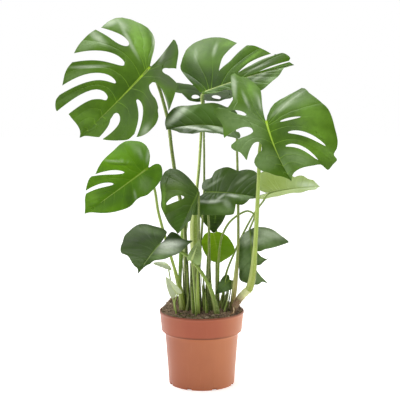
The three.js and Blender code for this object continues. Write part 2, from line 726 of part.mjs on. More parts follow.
// A closed tube along points, with a radius at each of them
function tube(points, radii, sides) {
  const vertices = []
  const triangles = []
  let side = null
  points.forEach((point, i) => {
    const before = points[Math.max(0, i - 1)]
    const after = points[Math.min(points.length - 1, i + 1)]
    const run = after.clone().sub(before).normalize()
    side ??= Math.abs(run.x) < 0.9 ? new THREE.Vector3(1, 0, 0) : new THREE.Vector3(0, 1, 0)
    side = side.clone().addScaledVector(run, -side.dot(run)).normalize()
    const other = new THREE.Vector3().crossVectors(run, side)
    for (let k = 0; k < sides; k += 1) {
      const angle = 2 * Math.PI * k / sides
      vertices.push(point.clone()
        .addScaledVector(side, radii[i] * Math.cos(angle))
        .addScaledVector(other, radii[i] * Math.sin(angle)))
    }
  })
  const first = vertices.length
  vertices.push(points[0].clone(), points.at(-1).clone())
  const lastRing = (points.length - 1) * sides
  for (let k = 0; k < sides; k += 1) {
    const next = (k + 1) % sides
    for (let i = 0; i < points.length - 1; i += 1) {
      const a = i * sides
      const b = a + sides
      triangles.push([a + k, a + next, b + next], [a + k, b + next, b + k])
    }
    triangles.push([first, next, k], [first + 1, lastRing + k, lastRing + next])
  }
  return meshOf(vertices, triangles)
}

const holes = []

// A stem's lower end is straight and stands in a plain hole in the soil; gives its foot
function planted([x, y, z], radius) {
  const foot = new THREE.Vector3(x, y, z - stemDepth)
  const drill = [foot.clone().setZ(foot.z - holeGap), new THREE.Vector3(x, y, z + 30)]
  holes.push(tube(drill, [radius + holeGap, radius + holeGap], stalkSides * 2))
  return foot
}

// The last stretch of a stalk: a knee behind the junction, then the rib under the blade's middle
function ribUnder(leaf, top) {
  const slope = Math.cos(radians(Math.min(0, leaf.left.fold, leaf.right.fold)))
  const below = radius => -(radius + bladeThickness / 2 + ribGap) / slope
  return [
    { at: bladePoint(leaf, -5, 0, below(top) - 3), radius: top },
    { at: bladePoint(leaf, 4, 0, below(top * 0.8)), radius: top * 0.8 },
    { at: bladePoint(leaf, 16, 0, below(ribRadius * 1.2)), radius: ribRadius * 1.2 },
    { at: bladePoint(leaf, leaf.length * ribReach, 0, below(ribRadius)), radius: ribRadius }
  ]
}

function addLeaf(spec) {
  const leaf = placed(spec)
  add(`leaf_${leaf.name}`, bladeGeometry(leaf), colours[leaf.colour ?? 'leaf'], 0.45)
}

function addStalk(spec) {
  const leaf = placed(spec)
  const { route, base, neck, top, sheath = 0.15, fromRhizome } = leaf.stalk
  const points = route.map(vector)
  const foot = fromRhizome ? stalkSeat(0) : planted(route[0], base)
  if (fromRhizome) {
    points.unshift(stalkSeat(seatLead))
  }
  const curve = new THREE.CatmullRomCurve3(points, false, 'centripetal')
  const steps = Math.max(4, Math.round(curve.getLength() / stalkStep))
  const centres = []
  const radii = []
  for (let i = 0; i <= steps; i += 1) {
    const t = i / steps
    centres.push(curve.getPointAt(t))
    const open = THREE.MathUtils.smoothstep(t, sheath, sheath + 0.1)
    const taper = neck + (top - neck) * (t - sheath) / (1 - sheath)
    radii.push(t < sheath + 0.1 ? base + (neck - base) * open : taper)
  }
  const rib = ribUnder(leaf, top)
  const all = [foot, ...centres, ...rib.map(station => station.at)]
  const thick = [base, ...radii, ...rib.map(station => station.radius)]
  add(`stalk_${leaf.name}`, tube(all, thick, stalkSides), colours.stalk, 0.55)
}

function addRolledLeaf() {
  const points = rolledLeaf.route.map(vector)
  points.unshift(planted(rolledLeaf.route[0], rolledLeaf.radii[0]))
  add('leaf_rolled', tube(points, [rolledLeaf.radii[0], ...rolledLeaf.radii], 8), colours.paleStalk, 0.5)
}

// The rhizome leans out of the soil over the rim, and the upper right leaf's stalk stands on its end
function rhizomePoints() {
  return [planted(rhizome.route[0], rhizome.radii[0]), ...rhizome.route.map(vector)]
}

function stalkSeat(further) {
  const [before, end] = rhizome.route.slice(-2).map(vector)
  return end.clone().addScaledVector(end.clone().sub(before).normalize(), seatGap + further)
}

function addRhizome() {
  add('rhizome', tube(rhizomePoints(), [rhizome.radii[0], ...rhizome.radii], 8), colours.rhizome, 0.8)
}

function addAerialRoot() {
  const points = [planted(aerialRoot.route[0], aerialRoot.radius), ...aerialRoot.route.map(vector)]
  add('aerial_root', tube(points, points.map(() => aerialRoot.radius), stalkSides), colours.root, 0.8)
}

function turned(outline, sides) {
  const geometry = new THREE.LatheGeometry(outline.map(([r, z]) => new THREE.Vector2(r, z)), sides)
  return geometry.rotateX(Math.PI / 2)
}

function addPot() {
  const shoulder = pot.height - pot.bandHeight
  const inside = (radius, z) => [radius - pot.wall, z]
  const shell = turned([
    [0, 0],
    [pot.baseRadius, 0],
    [pot.bodyRadius, shoulder - pot.shoulderDrop],
    [pot.bandRadius - 1, shoulder - 1],
    [pot.bandRadius, shoulder],
    [pot.rimRadius - 1, pot.height - 5],
    [pot.rimRadius, pot.height - 3],
    [pot.rimRadius - 0.6, pot.height - 0.4],
    [pot.rimRadius - 1.8, pot.height],
    [pot.rimRadius - 3, pot.height - 1],
    inside(pot.rimRadius - 1, pot.height - 5),
    inside(pot.bandRadius, shoulder + 2),
    inside(pot.bodyRadius, shoulder - pot.shoulderDrop + 3),
    inside(pot.baseRadius, pot.wall),
    [0, pot.wall]
  ], pot.sides)
  let solid = toSolid(shell)
  for (let i = 0; i < pot.drainHoles; i += 1) {
    const notch = new THREE.BoxGeometry(pot.drainLength, pot.drainWidth, pot.recess * 2)
    notch.translate(pot.baseRadius, 0, 0)
    notch.rotateZ((i + 0.5) * 2 * Math.PI / pot.drainHoles)
    solid = solid.subtract(toSolid(notch))
  }
  add('pot', toGeometry(solid), colours.terracotta, 0.55)
}

function addSoil() {
  const shoulder = pot.height - pot.bandHeight
  const inside = (radius, z) => [radius - pot.wall - soil.wallGap, z]
  const slope = (pot.rimRadius - pot.bandRadius) / pot.bandHeight
  const topRadius = pot.bandRadius + slope * (soil.top - shoulder) - 1
  let solid = toSolid(turned([
    [0, pot.wall + soil.floorGap],
    inside(pot.baseRadius, pot.wall + soil.floorGap),
    inside(pot.bodyRadius, shoulder - pot.shoulderDrop + 3),
    inside(pot.bandRadius, shoulder + 3),
    inside(topRadius, soil.top),
    [topRadius * 0.6, soil.top + soil.heap * 0.7],
    [0, soil.top + soil.heap]
  ], soil.sides))
  for (const hole of holes) {
    solid = solid.subtract(toSolid(hole))
  }
  add('soil', toGeometry(solid), colours.soil, 0.95)
}

addPot()
for (const leaf of leaves) {
  addLeaf(leaf)
  addStalk(leaf)
}
addRolledLeaf()
addRhizome()
addAerialRoot()
addSoil()

export default group
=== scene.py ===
import math
import random

import bmesh
import bpy
import numpy as np
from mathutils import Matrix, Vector, noise


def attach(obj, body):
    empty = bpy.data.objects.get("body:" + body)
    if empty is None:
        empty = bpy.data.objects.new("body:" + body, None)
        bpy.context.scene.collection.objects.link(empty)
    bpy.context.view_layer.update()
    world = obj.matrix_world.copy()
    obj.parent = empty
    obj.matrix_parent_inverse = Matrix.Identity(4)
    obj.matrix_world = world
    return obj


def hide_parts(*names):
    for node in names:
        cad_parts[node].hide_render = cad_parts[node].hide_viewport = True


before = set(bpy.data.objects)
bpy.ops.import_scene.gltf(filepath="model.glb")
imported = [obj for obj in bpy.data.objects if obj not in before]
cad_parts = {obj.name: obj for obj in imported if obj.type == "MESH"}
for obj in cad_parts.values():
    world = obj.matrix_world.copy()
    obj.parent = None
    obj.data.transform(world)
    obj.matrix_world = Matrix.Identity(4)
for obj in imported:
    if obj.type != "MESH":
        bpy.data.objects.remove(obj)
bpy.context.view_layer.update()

scene = bpy.context.scene
mm = 0.001
print("frame loaded,", len(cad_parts), "nodes")

# Camera, surroundings, floor and lamps; places in metres
studio = {
    "lens": 90,
    "sensor": 36,
    "photoWidth": 400,       # pixels
    "cameraPlace": (-0.005, -2.79, 0.837),
    "cameraTilt": 6.42,
    "front": 0.2,            # brightness of the surroundings towards -Y
    "behind": 1.0,           # and behind the plant
    "turning": 1.4,          # how fast one gives way to the other
    "floor": (246, 246, 244),
    "floorPale": (250, 250, 249),
    "floorGlow": 0.5,
    "floorGrain": 3,
    "floorCorners": [(-9, -6, 0), (9, -6, 0), (9, 14, 0), (-9, 14, 0)],
    "lamps": {
        "key_softbox": {"place": (-1.9, -2.2, 2.2), "aim": (0, 0, 0.55), "size": 0.9, "power": 18},
        "top_softbox": {"place": (-0.6, 0.3, 2.7), "aim": (0, 0, 0.6), "size": 1.6, "power": 62},
        "side_softbox": {"place": (2.6, -0.4, 1.4), "aim": (0, 0, 0.5), "size": 1.2, "power": 20},
    },
}


class Wire:
    # One output of a node; arithmetic on it adds Math nodes
    def __init__(self, nodes, socket):
        self.nodes = nodes
        self.socket = socket

    def math(self, operation, *values):
        return self.nodes.add("ShaderNodeMath", {"operation": operation}, dict(enumerate(values)))

    def __add__(self, other):
        return self.math("ADD", self, other)

    def __sub__(self, other):
        return self.math("SUBTRACT", self, other)

    def __rsub__(self, other):
        return self.math("SUBTRACT", other, self)

    def __mul__(self, other):
        return self.math("MULTIPLY", self, other)

    def __truediv__(self, other):
        return self.math("DIVIDE", self, other)

    def __rtruediv__(self, other):
        return self.math("DIVIDE", other, self)

    __radd__ = __add__
    __rmul__ = __mul__

    def within(self):
        return self.nodes.add("ShaderNodeClamp", {}, {"Value": self})

    def size(self):
        return self.math("ABSOLUTE", self)


class Nodes:
    # A node tree that is being filled
    def __init__(self, tree):
        self.tree = tree

    def add(self, kind, settings=None, sockets=None, out=0):
        node = self.tree.nodes.new(kind)
        for name, value in (settings or {}).items():
            if name == "stops":
                elements = node.color_ramp.elements
                while len(elements) < len(value):
                    elements.new(1)
                for element, (place, colour) in zip(elements, value):
                    element.position = place
                    element.color = colour
            else:
                setattr(node, name, value)
        for name, value in (sockets or {}).items():
            for single in value if isinstance(value, list) else [value]:
                if isinstance(single, Wire):
                    self.tree.links.new(single.socket, node.inputs[name])
                else:
                    node.inputs[name].default_value = single
        return Wire(self, node.outputs[out]) if node.outputs else None


def paint(red, green, blue):
    # A screen colour, 0 to 255 a channel, as Blender's linear one
    parts = [c / 255 for c in (red, green, blue)]
    return tuple(c / 12.92 if c <= 0.04045 else ((c + 0.055) / 1.055) ** 2.4 for c in parts) + (1,)


def newMaterial(name):
    material = bpy.data.materials.new(name)
    material.use_nodes = True
    material.node_tree.nodes.clear()
    return material, Nodes(material.node_tree)


def finishMaterial(nodes, tone, rough, gloss, skin=None, more=None):
    values = {"Base Color": tone, "Roughness": rough, "Specular IOR Level": gloss, **(more or {})}
    if skin:
        values["Normal"] = skin
    surface = nodes.add("ShaderNodeBsdfPrincipled", {}, values)
    nodes.add("ShaderNodeOutputMaterial", {}, {"Surface": surface})


def objectPlace(nodes, stretch=(1, 1, 1)):
    place = nodes.add("ShaderNodeTexCoord", out="Object")
    return nodes.add("ShaderNodeMapping", {}, {"Vector": place, "Scale": stretch})


def grain(nodes, place, scale, detail=3, contrast=1):
    sockets = {"Vector": place, "Scale": scale, "Detail": detail}
    value = nodes.add("ShaderNodeTexNoise", {}, sockets, "Fac")
    return ((value - 0.5) * contrast + 0.5).within()


def stretchedGrain(nodes, stretch, *noiseValues):
    return grain(nodes, objectPlace(nodes, stretch), *noiseValues)


def attribute(nodes, name):
    return nodes.add("ShaderNodeAttribute", {"attribute_name": name}, out="Fac")


def mixed(nodes, amount, first, second, blend="MIX"):
    # Two colours, each a wire or a screen colour, mixed by an amount
    first, second = (c if isinstance(c, Wire) else paint(*c) for c in (first, second))
    settings = {"data_type": "RGBA", "blend_type": blend}
    return nodes.add("ShaderNodeMix", settings, {0: amount, 6: first, 7: second}, 2)


def ramp(nodes, amount, stops):
    settings = {"stops": [(place, paint(*colour)) for place, colour in stops]}
    return nodes.add("ShaderNodeValToRGB", settings, {"Fac": amount})


def bumped(nodes, height, depth, strength=1.0):
    return nodes.add("ShaderNodeBump", {}, {"Strength": strength, "Distance": depth, "Height": height})


def store(mesh, name, numbers):
    # A number for each vertex, which a material or a tree reads by its name
    layer = mesh.attributes.new(name, "FLOAT", "POINT")
    layer.data.foreach_set("value", np.asarray(numbers).astype(np.float32))


def newTree(name, inputs):
    # A Geometry Nodes tree with named inputs; gives it, its nodes and the wires of the inputs
    tree = bpy.data.node_groups.new(name, "GeometryNodeTree")
    tree.interface.new_socket("Geometry", in_out="INPUT", socket_type="NodeSocketGeometry")
    for label, kind in inputs.items():
        tree.interface.new_socket(label, in_out="INPUT", socket_type="NodeSocket" + kind)
    tree.interface.new_socket("Geometry", in_out="OUTPUT", socket_type="NodeSocketGeometry")
    nodes = Nodes(tree)
    entry = nodes.add("NodeGroupInput").socket.node
    return tree, nodes, {label: Wire(nodes, entry.outputs[label]) for label in ["Geometry", *inputs]}


def endTree(nodes, shape, material):
    whole = nodes.add("GeometryNodeRealizeInstances", {}, {"Geometry": shape})
    smooth = nodes.add("GeometryNodeSetShadeSmooth", {}, {"Geometry": whole})
    done = nodes.add("GeometryNodeSetMaterial", {}, {"Geometry": smooth, "Material": material})
    nodes.add("NodeGroupOutput", {}, {"Geometry": done})


def newPiece(name, mesh):
    piece = bpy.data.objects.new(name, mesh)
    scene.collection.objects.link(piece)
    return piece


def grown(mesh, tree, values):
    # The plain mesh that a tree makes from a mesh
    seedPiece = newPiece("seed", mesh)
    modifier = seedPiece.modifiers.new("Nodes", "NODES")
    modifier.node_group = tree
    for item in tree.interface.items_tree:
        if item.in_out == "INPUT" and item.name in values:
            modifier[item.identifier] = values[item.name]
    evaluated = seedPiece.evaluated_get(bpy.context.evaluated_depsgraph_get())
    plain = bpy.data.meshes.new_from_object(evaluated)
    seedPiece.modifiers.remove(modifier)
    bpy.data.objects.remove(seedPiece)
    return plain


def joined(name, meshes):
    # One piece from several plain meshes; each brings its own materials
    parts = [newPiece(f"{name}_{k}", mesh) for k, mesh in enumerate(meshes)]
    with bpy.context.temp_override(active_object=parts[0], selected_editable_objects=parts):
        bpy.ops.object.join()
    parts[0].name = name
    return parts[0]


def declared(piece, node, slot):
    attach(piece, "root")
    if node:
        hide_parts(node)
    return piece


def addCamera():
    data = bpy.data.cameras.new("photo_camera")
    data.lens = studio["lens"]
    data.sensor_width = studio["sensor"]
    camera = newPiece("photo_camera", data)
    camera.location = studio["cameraPlace"]
    camera.rotation_euler = (math.radians(90 - studio["cameraTilt"]), 0, 0)
    scene.camera = camera


def addLamps():
    for name, lamp in studio["lamps"].items():
        data = bpy.data.lights.new(name, "AREA")
        data.shape = "SQUARE"
        data.size = lamp["size"]
        data.energy = lamp["power"]
        light = newPiece(name, data)
        light.location = lamp["place"]
        aim = Vector(lamp["aim"]) - light.location
        light.rotation_euler = aim.to_track_quat("-Z", "Y").to_euler()


def addSurroundings():
    # White behind and around the plant, dimmer in front, so that gloss has something to show
    world = bpy.data.worlds.new("studio")
    scene.world = world
    world.use_nodes = True
    world.node_tree.nodes.clear()
    nodes = Nodes(world.node_tree)
    heading = nodes.add("ShaderNodeTexCoord", out="Generated")
    backward = nodes.add("ShaderNodeSeparateXYZ", {}, {0: heading}, "Y")
    share = (backward * studio["turning"] + 0.5).within()
    strength = share * (studio["behind"] - studio["front"]) + studio["front"]
    light = nodes.add("ShaderNodeBackground", {}, {"Color": (1, 1, 1, 1), "Strength": strength})
    nodes.add("ShaderNodeOutputWorld", {}, {"Surface": light})
    scene.view_settings.view_transform = "Standard"


def addFloor():
    material, nodes = newMaterial("studio_floor")
    cloud = grain(nodes, objectPlace(nodes), studio["floorGrain"])
    tone = mixed(nodes, cloud, studio["floor"], studio["floorPale"])
    glow = {"Emission Color": (1, 1, 1, 1), "Emission Strength": studio["floorGlow"]}
    finishMaterial(nodes, tone, 0.8, 0.1, None, glow)
    mesh = bpy.data.meshes.new("studio_floor")
    mesh.from_pydata(studio["floorCorners"], [], [(0, 1, 2, 3)])
    mesh.materials.append(material)
    newPiece("studio_floor", mesh)


addCamera()
addLamps()
addSurroundings()
addFloor()
print("studio ready")

# Colours of the leaves, 0 to 255 a channel: rib is the midrib, under and underVein the lower face
leafLooks = {
    "leaf": {
        "deep": (50, 80, 6), "fresh": (86, 126, 14), "vein": (122, 164, 40), "rib": (166, 204, 50),
        "under": (132, 154, 98), "underVein": (164, 182, 124), "roughness": 0.36, "veinShare": 0.8
    },
    "darkLeaf": {
        "deep": (42, 66, 12), "fresh": (70, 100, 22), "vein": (90, 122, 44), "rib": (130, 160, 60),
        "under": (120, 142, 98), "underVein": (150, 168, 122), "roughness": 0.34
    },
    "youngLeaf": {
        "deep": (110, 150, 4), "fresh": (140, 180, 14), "vein": (140, 176, 48), "rib": (170, 196, 80),
        "under": (136, 164, 70), "underVein": (170, 190, 110), "roughness": 0.38
    },
    "paleLeaf": {
        "deep": (118, 142, 80), "fresh": (146, 168, 100), "vein": (160, 182, 112),
        "rib": (172, 190, 120), "under": (150, 170, 100), "underVein": (164, 182, 112),
        "roughness": 0.42, "bothFaces": True
    },
    "sunLeaf": {
        "deep": (54, 96, 4), "fresh": (96, 142, 8), "vein": (118, 158, 36), "rib": (150, 186, 50),
        "under": (132, 154, 98), "underVein": (164, 182, 124), "roughness": 0.42, "shine": 0.1
    },
    # a darker, duller copy of the leaf: painted shade for the leaf at the back, a darker green for the
    # lower left one
    "shadeLeaf": {
        "deep": (36, 58, 10), "fresh": (62, 90, 20), "vein": (76, 106, 36), "rib": (104, 134, 50),
        "under": (66, 88, 40), "underVein": (84, 108, 54), "roughness": 0.42, "shine": 0.12
    },
    "sproutLeaf": {
        "deep": (170, 184, 134), "fresh": (200, 208, 168), "vein": (190, 204, 150),
        "rib": (196, 208, 150), "under": (196, 206, 164), "underVein": (206, 214, 172),
        "roughness": 0.45
    },
}
# Leaves whose look differs from others of their slot
ownLook = {"sprout": "sproutLeaf", "sprout_folded": "sproutLeaf", "left": "sunLeaf",
    "back": "shadeLeaf", "lower_left": "shadeLeaf"}


def heart(length, half, back):
    # The margin of an uncut heart-shaped half, from the sinus by the stalk towards the tip
    return [
        [-0.25 * back, 0.1 * half],
        [-0.8 * back, 0.38 * half],
        [-0.95 * back, 0.72 * half],
        [-0.35 * back, half],
        [0.2 * length, 0.98 * half],
        [0.5 * length, 0.74 * half],
        [0.78 * length, 0.36 * half],
        [0.94 * length, 0.1 * half]
    ]


# Each leaf: where the stalk joins the blade, where the tip is and which way the upper face looks;
# arch, hang, fold, droop and basal are bends in degrees. A half's edge is its margin [along, across]
# in mm, from the sinus to the tip. A cut has its inner end, the place of its mouth along the margin
# (0 to 1) and its half widths, or an end (0 to 1 along the vein) where it is a closed hole. A bare
# number is a vein with no cut. The stalk's route runs from the soil to just short of the blade.
leaves = [
    {
        "name": "upper_left",
        "junction": [-140, -90, 890], "tip": [-320, -170, 706], "face": [0.37, -0.93, 0.04],
        "arch": 25, "hang": 17, "back": 90, "half": 150, "roots": [0.08, 0.22, 0.4, 0.6],
        "left": {
            "fold": -23, "droop": 10,
            "edge": [[-12, 6], [-26, 12], [-57, 23], [-85, 35], [-107, 52], [-123, 80], [-125, 107],
                [-125, 129], [-112, 156], [-82, 169], [-50, 174], [-23, 176], [-2, 185], [9, 187],
                [37, 189], [70, 187], [108, 178], [135, 168], [156, 164], [174, 158], [205, 139],
                [235, 124], [249, 119], [261, 109], [268, 95], [254, 68], [252, 46], [255, 22],
                [262, 8]],
            "cuts": [
                {"inner": [-18, 84], "after": 11, "width": 18},
                {"inner": [41, 55], "after": 16, "width": 16},
                {"inner": [98, 38], "after": 20, "width": 11},
                {"inner": [150, 23], "after": 24, "width": 14}
            ]
        },
        "right": {
            "fold": -22, "droop": 16, "basal": 10,
            "edge": [[-9, 2], [-30, 3], [-59, 3], [-92, 2], [-124, 2], [-137, 4], [-142, 14],
                [-136, 31], [-124, 44], [-100, 55], [-82, 66], [-59, 100], [-43, 118], [-24, 139],
                [5, 157], [41, 115], [53, 140], [74, 155], [113, 154], [147, 134], [151, 121],
                [172, 117], [196, 96], [219, 68], [230, 50], [235, 38], [245, 22], [258, 6]],
            "cuts": [
                {"inner": [-33, 36], "after": 10, "width": 9},
                {"inner": [28, 37], "after": 14, "width": 18},
                {"inner": [86, 40], "after": 19, "width": 9},
                {"inner": [160, 20], "after": 24, "width": 16}
            ]
        },
        "stalk": {
            "base": 8, "neck": 6, "top": 4.5,
            "route": [[-40, 8, 214], [-45, 10, 347], [-48, 10, 430], [-54, 12, 490], [-68, 16, 555],
                [-84, 18, 659], [-94, 16, 742], [-108, 10, 800], [-117, -18, 834], [-129, -44, 866]]
        }
    },
    {
        "name": "upper_middle",
        "junction": [3, 55, 824], "tip": [258, 21, 900], "face": [-0.29, -0.68, 0.67],
        "arch": 12, "hang": 20, "back": 70, "half": 130, "roots": [0.12, 0.3, 0.52],
        "left": {
            "fold": -10, "droop": 12,
            "edge": [[-6, 2], [8, 9], [33, 18], [82, 20], [118, 43], [142, 54], [167, 54], [201, 36],
                [223, 21], [240, 6], [256, 2]],
            "cuts": [0.4, 0.6, 0.8]
        },
        "right": {
            "fold": 20, "droop": 11,
            "edge": [[-8, 3], [-23, 39], [-37, 78], [-43, 108], [-33, 129], [-14, 158], [8, 171],
                [38, 172], [68, 163], [100, 145], [128, 117], [155, 99], [174, 89], [196, 70],
                [213, 51], [216, 45], [232, 46], [247, 44], [262, 25], [257, 17], [258, 12], [264, 4]],
            "cuts": [
                {"inner": [60, 46], "after": 10, "width": 14, "pointed": True},
                {"inner": [110, 20], "after": 14, "width": 5, "pointed": True},
                {"inner": [166, 5], "after": 19, "width": 2.5, "pointed": True}
            ]
        },
        "stalk": {
            "base": 12.5, "neck": 4.6, "top": 4, "sheath": 0.44,
            "route": [[-12, 2, 214], [-18, 0, 347], [-21, 4, 452], [-16, 24, 530], [-8, 58, 610],
                [-2, 72, 703], [2, 76, 778]]
        }
    },
    {
        "name": "middle", "colour": "darkLeaf",
        "junction": [96, 10, 716], "tip": [-97, -50, 722], "face": [0.05, -0.28, 0.95],
        "arch": 36, "hang": 22, "back": 60, "half": 100, "roots": [0.2, 0.45],
        "left": {
            "fold": 40, "droop": 15,
            "edge": [[1, 8], [-11, 37], [-3, 66], [10, 82], [27, 78], [38, 81], [54, 82], [75, 80],
                [98, 71], [117, 65], [132, 66], [147, 70], [164, 66], [179, 55], [194, 40], [203, 20]],
            "cuts": [0.45, 0.7]
        },
        "right": {
            "fold": -15, "droop": 15,
            "edge": [[-4, 8], [-9, 19], [-4, 34], [9, 44], [25, 42], [44, 39], [65, 37], [82, 35],
                [113, 37], [148, 36], [169, 29], [183, 12], [196, 4]],
            "cuts": [0.45, 0.7]
        },
        "stalk": {
            "base": 7.5, "neck": 4.2, "top": 3.4,
            "route": [[87, 4, 214], [93, -25, 283], [102, -6, 382], [103, 14, 480], [102, 34, 579],
                [99, 30, 672]]
        }
    },
    {
        "name": "upper_right",
        "junction": [171, -130, 748], "tip": [235, -178, 593], "face": [-0.47, -0.88, 0.07],
        "arch": 45, "hang": 18, "back": 120, "half": 140, "roots": [0.1, 0.3, 0.5],
        "left": {
            "fold": 28, "droop": 13, "basal": 24,
            "edge": [[-3, 3], [-31, 3], [-56, 3], [-82, 2], [-105, 3], [-120, 8], [-137, 22],
                [-152, 36], [-155, 51], [-155, 67], [-164, 82], [-148, 88], [-121, 86], [-94, 83],
                [-75, 80], [-60, 92], [-50, 104], [-56, 111], [-59, 124], [-56, 133], [-48, 133],
                [-36, 125], [-25, 119], [-15, 116], [-2, 118], [14, 119], [37, 108], [43, 109],
                [53, 101], [61, 90], [74, 84], [84, 80], [84, 55], [90, 63], [99, 66], [109, 63],
                [121, 56], [131, 43], [143, 32], [158, 14], [173, 2]],
            "cuts": [
                {"inner": [-30, 49], "mouth": 0.496, "width": 6, "end": 0.88},
                {"inner": [19, 40], "after": 25, "width": 13},
                {"inner": [62, 30], "after": 31, "width": 14}
            ]
        },
        "right": {
            "fold": 6, "droop": 25,
            "edge": [[-3, 3], [-16, 13], [-24, 23], [-34, 29], [-41, 40], [-43, 56], [-44, 77],
                [-45, 97], [-50, 118], [-43, 127], [-25, 135], [-5, 148], [17, 159], [41, 169],
                [69, 171], [103, 167], [137, 160], [156, 149], [168, 134], [186, 134], [192, 118],
                [197, 101], [188, 97], [175, 93], [167, 70], [161, 47], [160, 29], [165, 12]],
            "cuts": [
                {"inner": [22, 39], "mouth": 0.48, "width": 3.5, "end": 0.548},
                {"inner": [60, 50], "mouth": 0.671, "width": 5.5, "end": 0.865},
                {"inner": [90, 30], "mouth": 0.791, "width": 4.5, "end": 0.868}
            ]
        },
        "stalk": {
            "base": 10.5, "neck": 7, "top": 4.5, "fromRhizome": True,
            "route": [[139, -66, 310], [146, -92, 410], [149, -114, 508], [152, -122, 590],
                [156, -118, 683]]
        }
    },
    {
        "name": "left",
        "junction": [-149, -60, 617], "tip": [-317, -107, 497], "face": [0.19, -0.98, 0.11],
        "arch": 28, "hang": 24, "back": 60, "half": 90, "roots": [0.15, 0.38],
        "left": {
            "fold": -20, "droop": 16,
            "edge": [[-6, 2], [-24, 15], [-39, 27], [-55, 47], [-64, 76], [-38, 100], [3, 109],
                [44, 104], [85, 97], [110, 87], [126, 77], [140, 77], [157, 69], [176, 53], [182, 47],
                [191, 36], [201, 18], [210, 4]],
            "cuts": [
                {"inner": [58, 30], "after": 10, "width": 7},
                {"inner": [102, 21], "after": 13, "width": 6}
            ]
        },
        "right": {
            "fold": -24, "droop": 16,
            "edge": [[-7, 2], [-25, 2], [-40, 10], [-49, 25], [-45, 44], [-28, 56], [7, 68], [33, 70],
                [57, 62], [72, 61], [93, 66], [117, 61], [148, 49], [174, 29], [200, 6]],
            "cuts": [0.5, 0.72]
        },
        "stalk": {
            "base": 8, "neck": 4.5, "top": 3.5,
            "route": [[-52, -18, 214], [-61, -20, 270], [-78, -25, 337], [-100, -30, 414],
                [-121, -28, 493], [-131, -8, 550], [-138, -14, 574], [-144, -30, 594]]
        }
    },
    {
        "name": "right", "colour": "paleLeaf",
        "junction": [190, 60, 537], "tip": [335, 30, 557], "face": [-0.15, 0.25, 0.95],
        "arch": 15, "hang": 10, "back": 45, "half": 80, "roots": [0.25, 0.55],
        "left": {
            "fold": 35, "droop": 0,
            "edge": [[-4, 4], [-13, 16], [-20, 31], [-18, 56], [-9, 82], [6, 88], [27, 89], [52, 82],
                [71, 69], [83, 46], [94, 49], [108, 47], [120, 36], [133, 31], [140, 16], [146, 4]],
            "cuts": [0.45, 0.72]
        },
        "right": {
            "fold": 5, "droop": 25,
            "edge": [[-5, 4], [-20, 3], [-38, 4], [-44, 14], [-42, 29], [-29, 55], [-13, 66], [8, 68],
                [27, 65], [54, 67], [78, 68], [103, 57], [127, 47], [142, 16]],
            "cuts": [0.45, 0.72]
        },
        "stalk": {
            "base": 5.5, "neck": 3.2, "top": 2.6,
            "route": [[60, 18, 214], [68, 28, 301], [95, 46, 369], [125, 62, 430], [153, 64, 480],
                [178, 66, 514]]
        }
    },
    {
        "name": "front_left", "colour": "darkLeaf",
        "junction": [-8, -98, 557], "tip": [-65, -148, 449], "face": [0.1, -0.95, 0.3],
        "arch": 30, "hang": 20, "back": 60, "half": 90, "roots": [0.2, 0.5],
        "left": {
            "fold": -5, "droop": 15,
            "edge": [[-6, 3], [-13, 14], [-25, 33], [-37, 52], [-52, 74], [-54, 89], [-46, 104],
                [-25, 112], [2, 112], [23, 106], [47, 92], [67, 82], [84, 75], [97, 62], [113, 42],
                [123, 25], [129, 8]],
            "cuts": [{"inner": [34, 29], "mouth": 0.77, "width": 8, "end": 0.848}, 0.88]
        },
        "right": {
            "fold": -65, "droop": 10,
            "edge": [[2, 6], [12, 16], [28, 26], [48, 33], [72, 31], [98, 20], [122, 6]],
            "cuts": [0.45, 0.75]
        },
        "stalk": {
            "base": 9, "neck": 4.5, "top": 3.2,
            "route": [[-12, -34, 214], [-11, -35, 273], [-8, -50, 358], [-8, -76, 456], [-8, -88, 520]]
        }
    },
    {
        "name": "front_right", "colour": "darkLeaf",
        "junction": [10, -35, 549], "tip": [155, -47, 536], "face": [0, -0.55, 0.83],
        "arch": 15, "hang": 15, "back": 50, "half": 90, "roots": [0.25, 0.55],
        "left": {
            "fold": 12, "droop": 85,
            "edge": [[-3, 2], [-13, 20], [-23, 29], [-38, 42], [-42, 55], [-45, 70], [-12, 75],
                [33, 75], [84, 69], [88, 54], [89, 39], [95, 40], [108, 38], [118, 28], [125, 16],
                [136, 10], [143, 4]],
            "cuts": [0.5, 0.75]
        },
        "right": {
            "fold": 15, "droop": 10,
            "edge": [[-3, 7], [-10, 11], [-13, 29], [-8, 45], [3, 49], [11, 51], [15, 68], [19, 80],
                [32, 89], [54, 95], [71, 91], [82, 86], [95, 93], [112, 96], [125, 95], [135, 87],
                [141, 61], [146, 32], [147, 8]],
            "cuts": [0.45, 0.72]
        },
        "stalk": {
            "base": 9.5, "neck": 4.2, "top": 3.2,
            "route": [[22, -14, 214], [21, -12, 349], [20, -12, 441], [16, -15, 514]]
        }
    },
    {
        "name": "lower_left", "colour": "darkLeaf",
        "junction": [-111, -110, 418], "tip": [-168, -215, 352], "face": [0.15, -0.6, 0.8],
        "arch": 30, "hang": -30, "back": 60, "half": 85, "roots": [0.2, 0.5],
        "left": {
            "fold": -5, "droop": 15,
            "edge": [[-6, 2], [-30, 3], [-50, 6], [-57, 25], [-56, 53], [-55, 72], [-52, 90],
                [-47, 100], [-38, 107], [-24, 110], [-6, 110], [20, 105], [44, 98], [68, 89], [88, 77],
                [90, 64], [93, 53], [107, 37], [119, 21], [122, 10], [130, 3]],
            "cuts": [0.45, 0.72]
        },
        "right": {
            "fold": -5, "droop": 5,
            "edge": [[-6, 2], [-34, 2], [-52, 2], [-60, 7], [-60, 14], [-59, 27], [-54, 39], [-56, 53],
                [-63, 68], [-49, 64], [-26, 60], [-8, 57], [16, 52], [31, 46], [48, 39], [63, 28],
                [78, 17], [93, 13], [104, 7], [118, 3]],
            "cuts": [0.45, 0.72]
        },
        "stalk": {
